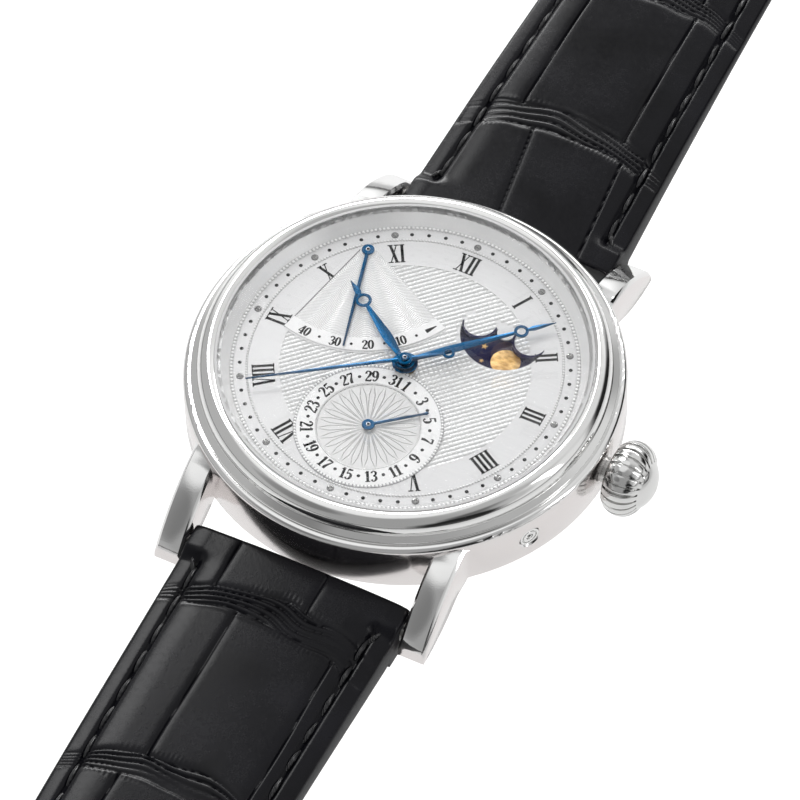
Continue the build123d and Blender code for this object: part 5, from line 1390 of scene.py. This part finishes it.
strapLook = {
    "near": -1.5, "halfWidth": 10.95, "halfEnd": 9.0, "heel": 1.1, "full": 4.4, "heelRadius": 1.5,
    "rimWidth": 1.95, "rimFall": 0.32, "shoulder": 2.8,
    "stitchInset": 2.05, "groove": 0.34, "grooveWidth": 0.3,
    "liningThickness": 0.7, "liningStart": 2.8, "edgeRound": 0.35, "pitch": (0.11, 0.26), "across": 200,
    "curveShares": (0.22, 0.5), "bottomShares": (0.13, 0.2),
    "topShares": (0.97, 0.83), "rimShares": (0.78, 0.66),
}
strapHalves = {
    "strap_short": {
        "body": "short_strap", "side": 1, "length": 75.0, "straight": 17.0, "endBottom": 1.1,
        "endThickness": 2.4,
        "rounded": 0.0, "wrap": 1.2, "seed": 11,
        # wrinkle bands: place along the strap, bow towards the lug (negative) or away, half thickness
        "bands": [(11.6, 2.2, 1.35), (31.0, 2.4, 1.3), (49.0, 1.8, 1.1), (62.5, 1.2, 0.9)],
        # lengthwise creases between the bands, (x at the near end, x at the far end)
        "creases": [[(-1.3, -3.4), (7.3, 6.2)], [(-5.5, -5.3), (5.3, 5.1)], [(-2.2, -2.6), (4.6, 5.0)],
                    [(-4.4, -4.0), (1.6, 1.2)], [(-1.2, -1.0), (4.6, 4.4)]],
    },
    "strap_long": {
        "body": "long_strap", "side": -1, "length": 117.0, "straight": 33.0, "endBottom": 0.0,
        "endThickness": 2.2,
        "rounded": 9.0, "wrap": 0.0, "seed": 23,
        "bands": [(5.6, -2.1, 1.35), (25.2, -2.2, 1.35), (43.5, -1.9, 1.2), (60.0, -1.5, 1.05),
                  (75.5, -1.2, 0.95), (89.5, -1.0, 0.85), (102.0, -0.9, 0.75)],
        "creases": [[(6.2, 6.2), (-2.7, -2.7)], [(3.05, 3.1), (-7.2, -7.0)], [(4.6, 4.9), (-3.4, -3.1)],
                    [(1.2, 1.0), (-4.8, -4.6)], [(4.2, 4.0), (-1.8, -1.6)], [(2.2, 2.0), (-3.8, -3.6)],
                    [(3.8, 3.6), (-1.0, -1.2)], [(1.6, 1.6), (-2.6, -2.6)]],
    },
}


def levelsAlong(half, s):
    # underside, padded top and rim heights at the distances s from the bar
    look = strapLook
    flat = half["length"] - half["straight"]
    shares = look["curveShares"]
    bottomPoints = [(0, look["heel"])]
    topPoints = [(look["near"], look["heel"] + look["full"])]
    rimPoints = [(look["near"], look["heel"] + look["full"] * look["rimShares"][0])]
    for share, low, high, edge in zip(shares, look["bottomShares"], look["topShares"], look["rimShares"]):
        bottomPoints.append((share * flat, look["heel"] + low * look["full"]))
        topPoints.append((share * flat, look["heel"] + high * look["full"]))
        rimPoints.append((share * flat, look["heel"] + edge * look["full"]))
    bottomPoints.append((flat, half["endBottom"]))
    topPoints.append((flat, half["endBottom"] + half["endThickness"]))
    rimPoints.append((flat, half["endBottom"] + half["endThickness"] * 0.9))
    lines = []
    for line in (bottomPoints, topPoints, rimPoints):
        places = np.array([line[0][0] - 8] + [p[0] for p in line] + [flat + 8, half["length"] + 3])
        levels = np.array([line[0][1]] + [p[1] for p in line] + [line[-1][1], line[-1][1]])
        lines.append(softened(s, places, levels))
    bottom, top, rim = lines
    heel = look["heelRadius"]
    arc = look["heel"] + heel - np.sqrt(np.maximum(heel ** 2 - np.minimum(s, 0) ** 2, 0))
    bottom = np.where(s < 0, arc, bottom)
    if half["wrap"]:
        past = np.clip(s - half["length"], 0, half["wrap"] - 0.02)
        fall = half["wrap"] - np.sqrt(half["wrap"] ** 2 - past ** 2)
        top = top - fall
        rim = np.minimum(rim, top)
        bottom = bottom + fall
    return bottom, top, rim


def softened(s, places, levels):
    # smooth line through the given levels, without overshoot
    slopes = np.zeros(len(places))
    steps = np.diff(levels) / np.diff(places)
    for index in range(1, len(places) - 1):
        before, after = steps[index - 1], steps[index]
        slopes[index] = 0 if before * after <= 0 else 2 * before * after / (before + after)
    index = np.clip(np.searchsorted(places, s) - 1, 0, len(places) - 2)
    width = places[index + 1] - places[index]
    t = np.clip((s - places[index]) / width, 0, 1)
    return (levels[index] * (1 + 2 * t) * (1 - t) ** 2 + levels[index + 1] * t ** 2 * (3 - 2 * t)
            + width * (slopes[index] * t * (1 - t) ** 2 - slopes[index + 1] * t ** 2 * (1 - t)))


def halfWidthAt(half, s):
    share = np.clip((s - strapLook["near"]) / (half["length"] - strapLook["near"]), 0, 1)
    return strapLook["halfWidth"] + (strapLook["halfEnd"] - strapLook["halfWidth"]) * share


def planHalf(half, s):
    # half width with the free end rounded off
    wide = halfWidthAt(half, s)
    if half["rounded"]:
        past = np.clip((s - (half["length"] - half["rounded"])) / half["rounded"], 0, 1)
        wide = wide * np.sqrt(np.maximum(1 - past ** 2, 0.0004))
    return wide


def bandPlace(half, band, x, seed):
    place, bow, thickness = band
    wide = halfWidthAt(half, np.array(place))
    sway = 0.3 * smoothNoise(x * 0.7, x * 0 + seed, seed, 2)
    return place + bow * (0.5 - (x / wide) ** 2) + sway


def padEdge(distance, reach, drop):
    # rounded shoulder of a scale: level far from its edge and falling towards it
    near = np.clip(1 - distance / reach, 0, 1)
    return -drop * (1 - np.sqrt(np.maximum(1 - near ** 2, 0)))


def scaleRelief(half, x, s, inset):
    # the alligator print: wrinkle bands across, creases along, and fine ticks where scales end
    seed = half["seed"]
    inner = np.clip((inset - 1.7) / 0.9, 0, 1)
    height = np.zeros(x.shape)
    inBand = np.zeros(x.shape)
    edges = []
    for index, band in enumerate(half["bands"]):
        centre = bandPlace(half, band, x, seed + index)
        spread = x / halfWidthAt(half, np.array(band[0]))
        thick = band[2] * (0.72 + 0.4 * np.cos(spread * 1.4 + 0.5)
                           + 0.14 * smoothNoise(x * 0.9, x * 0 + index, seed + 40 + index, 2))
        across = (s - centre) / thick
        away = np.abs(across) - 1
        inside = np.clip(-away * thick / 0.14, 0, 1)
        inBand = np.maximum(inBand, inside)
        sway = 0.55 * smoothNoise(x * 0.4, across * 0.5 + 7.0 * index, seed + 400 + index, 3)
        folds = np.abs(np.sin(math.pi * (across + sway) * 2.1)) ** 0.7
        tall = np.clip(0.62 + 0.9 * smoothNoise(x * 0.26, across * 1.3 + 5.0, seed + 500 + index, 2), 0.15,
                       1.0)
        height = height * (1 - inside) + inside * (-0.30 + 0.27 * folds * tall)
        outside = np.maximum(away * thick, 0)
        height += (1 - inside) * padEdge(outside, 0.8, 0.17)
        for side in (-1, 1):
            near = (across - side) * thick * side
            long = 0.75 + 0.4 * smoothNoise(x * 2.1, x * 0, seed + 120 + index, 2)
            beat = x / 0.46 + 0.5 * smoothNoise(x * 0.8, x * 0, seed + index, 2)
            ticks = np.exp(-((beat - np.round(beat)) / 0.22) ** 2)
            some = np.clip(0.4 + 1.5 * smoothNoise(x * 0.35, x * 0 + side * 3.0, seed + 150 + index, 2), 0,
                           1)
            fade = np.clip(1.1 - near / np.maximum(long, 0.1), 0, 1) * ((near > 0) & (near < long))
            height -= 0.085 * ticks * some * inner * fade
        edges.append(centre)
    starts = [np.full(x.shape, strapLook["near"])] + edges
    ends = edges + [np.full(x.shape, half["length"] + 2.0)]
    free = 1 - inBand
    for index, creases in enumerate(half["creases"]):
        start = starts[index]
        end = ends[index]
        share = np.clip((s - start) / np.maximum(end - start, 0.1), 0, 1)
        inside = (s > start) & (s <= end)
        for nearX, farX in creases:
            line = nearX + (farX - nearX) * share
            line += 0.16 * smoothNoise(s * 0.3, s * 0 + nearX, seed + 200 + index, 2)
            off = np.abs(x - line)
            height += inside * free * (padEdge(off, 0.85, 0.11) - 0.16 * np.exp(-(off / 0.13) ** 2))
    height += 0.03 * smoothNoise(x * 0.28, s * 0.2, seed + 300, 2)
    rimShare = np.clip(inset / 0.5, 0, 1)
    return height * (0.5 + 0.5 * inner) * rimShare


def topSurface(half, x, s, carved=True):
    bottom, top, rim = levelsAlong(half, s)
    wide = halfWidthAt(half, s)
    inset = wide - np.abs(x)
    if half["rounded"]:
        centre = half["length"] - half["rounded"]
        past = np.maximum(s - centre, 0)
        spread = np.sqrt((x / wide) ** 2 + (past / half["rounded"]) ** 2)
        inset = np.where(s > centre, np.minimum(inset, (1 - spread) * half["rounded"]), inset)
    if half["wrap"]:
        inset = np.minimum(inset, np.where(s > half["length"] - 9, 2.4 + 0 * s, 99))
    look = strapLook
    climb = np.clip((inset - look["rimWidth"]) / look["shoulder"], 0, 1)
    climb = np.sqrt(1 - (1 - climb) ** 2)
    level = np.clip((2.4 - s) / 1.6, 0, 1)
    climb = climb + (1 - climb) * level * level * (3 - 2 * level)
    crown = 1 - (np.clip(np.abs(x) / np.maximum(wide - look["rimWidth"], 1), 0, 1)) ** 2
    z = rim + (top - rim) * climb * (0.74 + 0.26 * crown)
    z -= look["rimFall"] * np.clip(1 - inset / look["rimWidth"], 0, 1) ** 2
    nearEdge = np.clip(1 - np.maximum(inset, 0) / look["edgeRound"], 0, 1)
    z -= look["edgeRound"] * 0.8 * (1 - np.sqrt(np.maximum(1 - nearEdge ** 2, 0)))
    nearEnd = np.clip(1 - (s - look["near"]) / 0.45, 0, 1)
    z -= 0.3 * (1 - np.sqrt(np.maximum(1 - nearEnd ** 2, 0)))
    stitched = np.clip((s - 1.2) / 1.0, 0, 1)
    z -= look["groove"] * np.exp(-((inset - look["stitchInset"]) / look["grooveWidth"]) ** 2) * stitched
    if carved:
        z += scaleRelief(half, x, s, inset)
    return np.maximum(z, bottom + 0.3)


def placedStrap(half, points):
    # from (x, s, z) beside the bar to the watch's own place
    points = np.asarray(points, float)
    side = half["side"]
    return np.stack([side * points[:, 0], side * (barY + points[:, 1]), points[:, 2]], 1)


def strapShape(half):
    look = strapLook
    end = half["length"] + half["wrap"] - (0.02 if half["rounded"] else 0)
    fine, coarse = look["pitch"]
    s = [look["near"]]
    while s[-1] < end:
        close = s[-1] < look["near"] + 1.0 or any(abs(s[-1] - band[0]) < 3.3 for band in half["bands"])
        s.append(s[-1] + (fine if close else coarse))
    s = np.array(s[:-1] + [end])
    if half["rounded"]:
        # stations crowd together where the end rounds off
        turned = np.sin(np.linspace(0, math.pi / 2, 90))
        s = np.concatenate([s[s < half["length"] - half["rounded"]],
                            half["length"] - half["rounded"] * (1 - turned)])
        s[-1] = half["length"] - 0.002
    if half["wrap"]:
        tail = half["length"] + half["wrap"] * np.sin(np.linspace(0, math.pi / 2 * 0.98, 14))
        s = np.concatenate([s[s < half["length"]], tail])
    rows = len(s)
    v = np.linspace(-1, 1, look["across"])
    v = np.sign(v) * (1 - (1 - np.abs(v)) ** 1.06)
    grid, along = np.meshgrid(v, s)
    wide = planHalf(half, s)
    x = grid * wide[:, None]
    z = topSurface(half, x, along)
    bottom, top, rim = levelsAlong(half, s)
    lift = look["liningThickness"] * np.clip((s - look["liningStart"]) / 0.05, 0, 1)
    base = np.minimum(bottom + lift, z.min(axis=1) - 0.1)
    parts = [np.stack([x, along, z], 2)]
    wallSteps = 4
    for side in (1, -1):
        edgeX = side * wide
        edgeZ = z[:, -1] if side > 0 else z[:, 0]
        wall = []
        for step in range(1, wallSteps + 1):
            share = step / wallSteps
            belly = 0.06 * math.sin(math.pi * share)
            wall.append(np.stack([edgeX + side * belly, s, edgeZ + (base - edgeZ) * share], 1))
        parts.append(np.stack(wall, 1) if side > 0 else np.stack(wall[::-1], 1))
    ring = np.concatenate([parts[0], parts[1], parts[2]], 1)
    count = ring.shape[1]
    points = ring.reshape(-1, 3)
    faces = np.array(sheetFaces(rows, count, closeColumns=True))
    caps = [list(range(count))[::-1], [(rows - 1) * count + index for index in range(count)]]
    kinds = np.where((faces[:, 0] % count) < look["across"] - 1, 0, 1)
    shape = placedStrap(half, points), faces.tolist() + caps
    return shape, list(kinds) + [1, 1]


def liningShape(half):
    look = strapLook
    end = half["length"] - (2.7 if half["wrap"] else 0.15)
    s = np.linspace(look["liningStart"], end, 200)
    if half["rounded"]:
        turned = np.sin(np.linspace(0, math.pi / 2, 40))
        s = np.concatenate([s[s < half["length"] - half["rounded"]],
                            half["length"] - 0.15 - half["rounded"] * (1 - turned)])
    v = np.linspace(-1, 1, 31)
    wide = np.maximum(planHalf(half, s) - 0.12, 0.05)
    bottom, top, rim = levelsAlong(half, s)
    grid, along = np.meshgrid(v, s)
    x = grid * wide[:, None]
    inset = wide[:, None] - np.abs(x)
    soft = 0.22 * np.clip(1 - inset / 0.4, 0, 1) ** 2
    seam = 0.1 * np.exp(-((inset - look["stitchInset"] + 0.12) / 0.3) ** 2)
    low = bottom[:, None] + soft + seam + 0.012 * smoothNoise(x * 1.3, along * 1.3, half["seed"] + 5, 3)
    high = np.broadcast_to(bottom[:, None] + look["liningThickness"] - 0.005, low.shape)
    ring = np.concatenate([np.stack([x, along, high], 2), np.stack([x, along, low], 2)[:, ::-1]], 1)
    rows, count = ring.shape[:2]
    faces = sheetFaces(rows, count, closeColumns=True)
    faces += [list(range(count))[::-1], [(rows - 1) * count + index for index in range(count)]]
    return placedStrap(half, ring.reshape(-1, 3)), faces


stitchLook = {"pitch": 3.3, "length": 2.55, "radius": 0.23, "start": 2.3, "steps": 7}


def stitchPath(half):
    # the line that the stitches follow: up one side, round a rounded end, and back
    look = strapLook
    start = stitchLook["start"]
    inset = look["stitchInset"]
    if half["rounded"]:
        centre = half["length"] - half["rounded"]
        s = np.linspace(start, centre, 400)
        side = halfWidthAt(half, s) - inset
        right = np.stack([side, s], 1)
        turn = np.linspace(0, math.pi, 120)[1:-1]
        wide = halfWidthAt(half, np.array(centre)) - inset
        tip = np.stack([wide * np.cos(turn), centre + (half["rounded"] - inset) * np.sin(turn)], 1)
        left = np.stack([-side, s], 1)[::-1]
        return [np.concatenate([right, tip, left])]
    s = np.linspace(start, half["length"] - 8.2, 400)
    side = halfWidthAt(half, s) - inset
    return [np.stack([side, s], 1), np.stack([-side, s], 1)]


def stitches(half, under):
    shapes = []
    chance = np.random.default_rng(half["seed"])
    for path in stitchPath(half):
        run = np.concatenate([[0], np.cumsum(np.linalg.norm(np.diff(path, axis=0), axis=1))])
        count = int(run[-1] / stitchLook["pitch"])
        for index in range(count):
            begin = (index + 0.1) * run[-1] / count
            where = begin + np.linspace(0, stitchLook["length"], stitchLook["steps"])
            x = np.interp(where, run, path[:, 0])
            s = np.interp(where, run, path[:, 1])
            x = x + np.linspace(-1, 1, len(x)) * chance.uniform(-0.07, 0.07)
            arch = np.sin(np.linspace(0, math.pi, len(x)))
            if under:
                bottom = levelsAlong(half, s)[0]
                z = bottom + 0.27 - 0.13 * arch
            else:
                z = topSurface(half, x, s, False) - 0.04 + 0.22 * arch
            radii = stitchLook["radius"] * (0.45 + 0.55 * arch ** 0.5)
            points, faces = tube(np.stack([x, s, z], 1), radii)
            shapes.append((placedStrap(half, points), faces))
    if not under:
        # a short back-tack where the thread starts at the lug end
        for side in (1, -1):
            path = []
            for share in np.linspace(0, 1, 6):
                s = stitchLook["start"] + 1.1 - 1.5 * share
                x = side * (halfWidthAt(half, np.array(s)) - strapLook["stitchInset"] + 0.75 * share)
                z = float(topSurface(half, np.array([x]), np.array([s]), False)[0])
                z += 0.16 * math.sin(math.pi * share) - 0.06
                path.append((x, s, z))
            points, faces = tube(path, [0.16, 0.22, 0.24, 0.24, 0.2, 0.12])
            shapes.append((placedStrap(half, points), faces))
    return joined(shapes)


def cutWith(piece, cutters):
    # real holes: each cutter is removed once its shape is taken out
    for cutter in cutters:
        points, faces = turnedOut(cutter)
        mesh = bpy.data.meshes.new("cutter")
        mesh.from_pydata((points * mm).tolist(), [], faces)
        tool = bpy.data.objects.new("cutter", mesh)
        scene.collection.objects.link(tool)
        hole = piece.modifiers.new("holes", "BOOLEAN")
        hole.operation = "DIFFERENCE"
        hole.solver = "EXACT"
        hole.object = tool
        bpy.context.view_layer.update()
        evaluated = piece.evaluated_get(bpy.context.evaluated_depsgraph_get())
        cut = bpy.data.meshes.new_from_object(evaluated)
        piece.modifiers.remove(hole)
        old = piece.data
        piece.data = cut
        print("cut", piece.name, len(old.polygons), "->", len(cut.polygons))
        bpy.data.meshes.remove(old)
        bpy.data.objects.remove(tool)
        bpy.data.meshes.remove(mesh)


def rod(radius, start, end, sides=40):
    # closed cylinder between two points, along x or z
    start = np.array(start, float)
    end = np.array(end, float)
    run = (end - start) / np.linalg.norm(end - start)
    one = np.array([0.0, 0.0, 1.0]) if run[0] else np.array([1.0, 0.0, 0.0])
    two = np.cross(run, one)
    points = []
    for place in (start, end):
        for side in range(sides):
            angle = 2 * math.pi * side / sides
            points.append(place + radius * (math.cos(angle) * one + math.sin(angle) * two))
    faces = sheetFaces(2, sides, closeColumns=True)
    faces += [list(range(sides))[::-1], [sides + side for side in range(sides)]]
    return points, faces


holeLook = {
    "boreRadius": 0.95, "boreReach": 13.0,                                  # for the spring bar
    "holes": 7, "holeRadius": 1.0, "holePitch": 6.5, "firstHole": 101.0,    # along the long half
    "pinRadius": 0.65, "pinReach": 12.0, "slotHalf": 1.6, "slotReach": (2.6, 3.0),
}


def strapHoles(name, half):
    look = holeLook
    y = half["side"] * barY
    cutters = [rod(look["boreRadius"], (-look["boreReach"], y, barZ), (look["boreReach"], y, barZ))]
    if name == "strap_long":
        for index in range(look["holes"]):
            place = index * look["holePitch"] - barY - look["firstHole"]
            cutters.append(rod(look["holeRadius"], (0, place, -2), (0, place, 9)))
    else:
        low, high = corners("buckle_pin")
        _, y, z = (low + high) / 2
        cutters.append(rod(look["pinRadius"], (-look["pinReach"], y, z), (look["pinReach"], y, z)))
        wide = look["slotHalf"]
        near, far = look["slotReach"]
        cutters.append(prism([(-wide, y - near), (wide, y - near), (wide, y + far), (-wide, y + far)], -1,
                             6))
    return cutters


def turnedOut(shape):
    # flips the faces where the closed form came out inside out
    points, faces = shape
    points = np.asarray(points)
    volume = 0.0
    for face in faces:
        first = points[face[0]]
        for index in range(1, len(face) - 1):
            volume += np.dot(first, np.cross(points[face[index]], points[face[index + 1]]))
    if volume < 0:
        faces = [face[::-1] for face in faces]
    return points, faces


def makeStrapHalf(name, half):
    body = half["body"]
    shape, kinds = strapShape(half)
    piece = addPiece(name + "_leather", turnedOut(shape), "leather", body, 60)
    piece.data.materials.append(finishes["edge"])
    piece.data.polygons.foreach_set("material_index", [int(kind) for kind in kinds])
    piece.data.update()
    cutWith(piece, strapHoles(name, half))
    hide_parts(name)
    under = addPiece(name + "_inside", turnedOut(liningShape(half)), "lining", body, 60)
    if name == "strap_long":
        cutWith(under, strapHoles(name, half)[1:])
    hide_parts(name + "_lining")
    addPiece(name + "_stitching", stitches(half, False), "thread", body, 60)
    addPiece(name + "_under_stitching", stitches(half, True), "thread", body, 60)


for strapName, strapHalf in strapHalves.items():
    makeStrapHalf(strapName, strapHalf)
    print("made", strapName)


# ---- keepers: leather loops with rounded edges

keeperLook = {"wallTop": 1.0, "wallSide": 0.9, "corner": 0.9, "turns": 12, "along": 25, "pitch": 0.35}


def keeperOutline(halfWide, halfTall):
    # rows of x, z and the outward direction, close together all the way round the loop
    look = keeperLook
    corner = look["corner"]
    outer = []
    for turnX, turnZ, first in ((1, 1, 0), (-1, 1, 90), (-1, -1, 180), (1, -1, 270)):
        for step in range(look["turns"] + 1):
            angle = math.radians(first + 90 * step / look["turns"])
            outer.append(np.array((turnX * (halfWide - corner) + corner * math.cos(angle),
                                   turnZ * (halfTall - corner) + corner * math.sin(angle),
                                   math.cos(angle), math.sin(angle))))
    rows = []
    for place, after in zip(outer, outer[1:] + outer[:1]):
        pieces = max(1, int(math.hypot(*(after - place)[:2]) / look["pitch"]))
        rows += [place + (after - place) * step / pieces for step in range(pieces)]
    return np.array(rows).T


def keeperShape(name, seed):
    low, high = corners(name)
    middle = (low + high) / 2
    halfWide, halfLong, halfTall = (high - low) / 2
    look = keeperLook
    x, z, outX, outZ = keeperOutline(halfWide, halfTall)
    run = np.arange(len(x)) * look["pitch"]
    insideX = np.clip(x, look["wallSide"] - halfWide, halfWide - look["wallSide"])
    insideZ = np.clip(z, look["wallTop"] - halfTall, halfTall - look["wallTop"])
    shares = np.linspace(-1, 1, look["along"])
    ring = []
    for share in shares:
        fall = 0.3 * np.clip((abs(share) - 0.82) / 0.18, 0, 1) ** 2
        groove = 0.09 * math.exp(-((abs(share) - 0.62) / 0.07) ** 2)
        wrinkle = 0.05 * smoothNoise(run * 0.9, run * 0 + share * 2.0, seed, 3)
        push = np.minimum(wrinkle - 0.05, 0.0) - fall - groove
        ring.append(np.stack([x + outX * push, run * 0 + share * halfLong, z + outZ * push], 1))
    for share in shares[::-1]:
        ring.append(np.stack([insideX, run * 0 + share * halfLong, insideZ], 1))
    ring = np.stack(ring, 1) + middle
    rows, count = ring.shape[:2]
    return ring.reshape(-1, 3), sheetFaces(rows, count, closeRows=True, closeColumns=True)


keepers = (("fixed_keeper", "short_strap", 3), ("free_keeper", "sliding_keeper", 8))
for keeperName, keeperBody, keeperSeed in keepers:
    loop = turnedOut(keeperShape(keeperName, keeperSeed))
    loop = addPiece(keeperName + "_leather", loop, "leather", keeperBody, 60)
    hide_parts(keeperName)
print("keepers made")
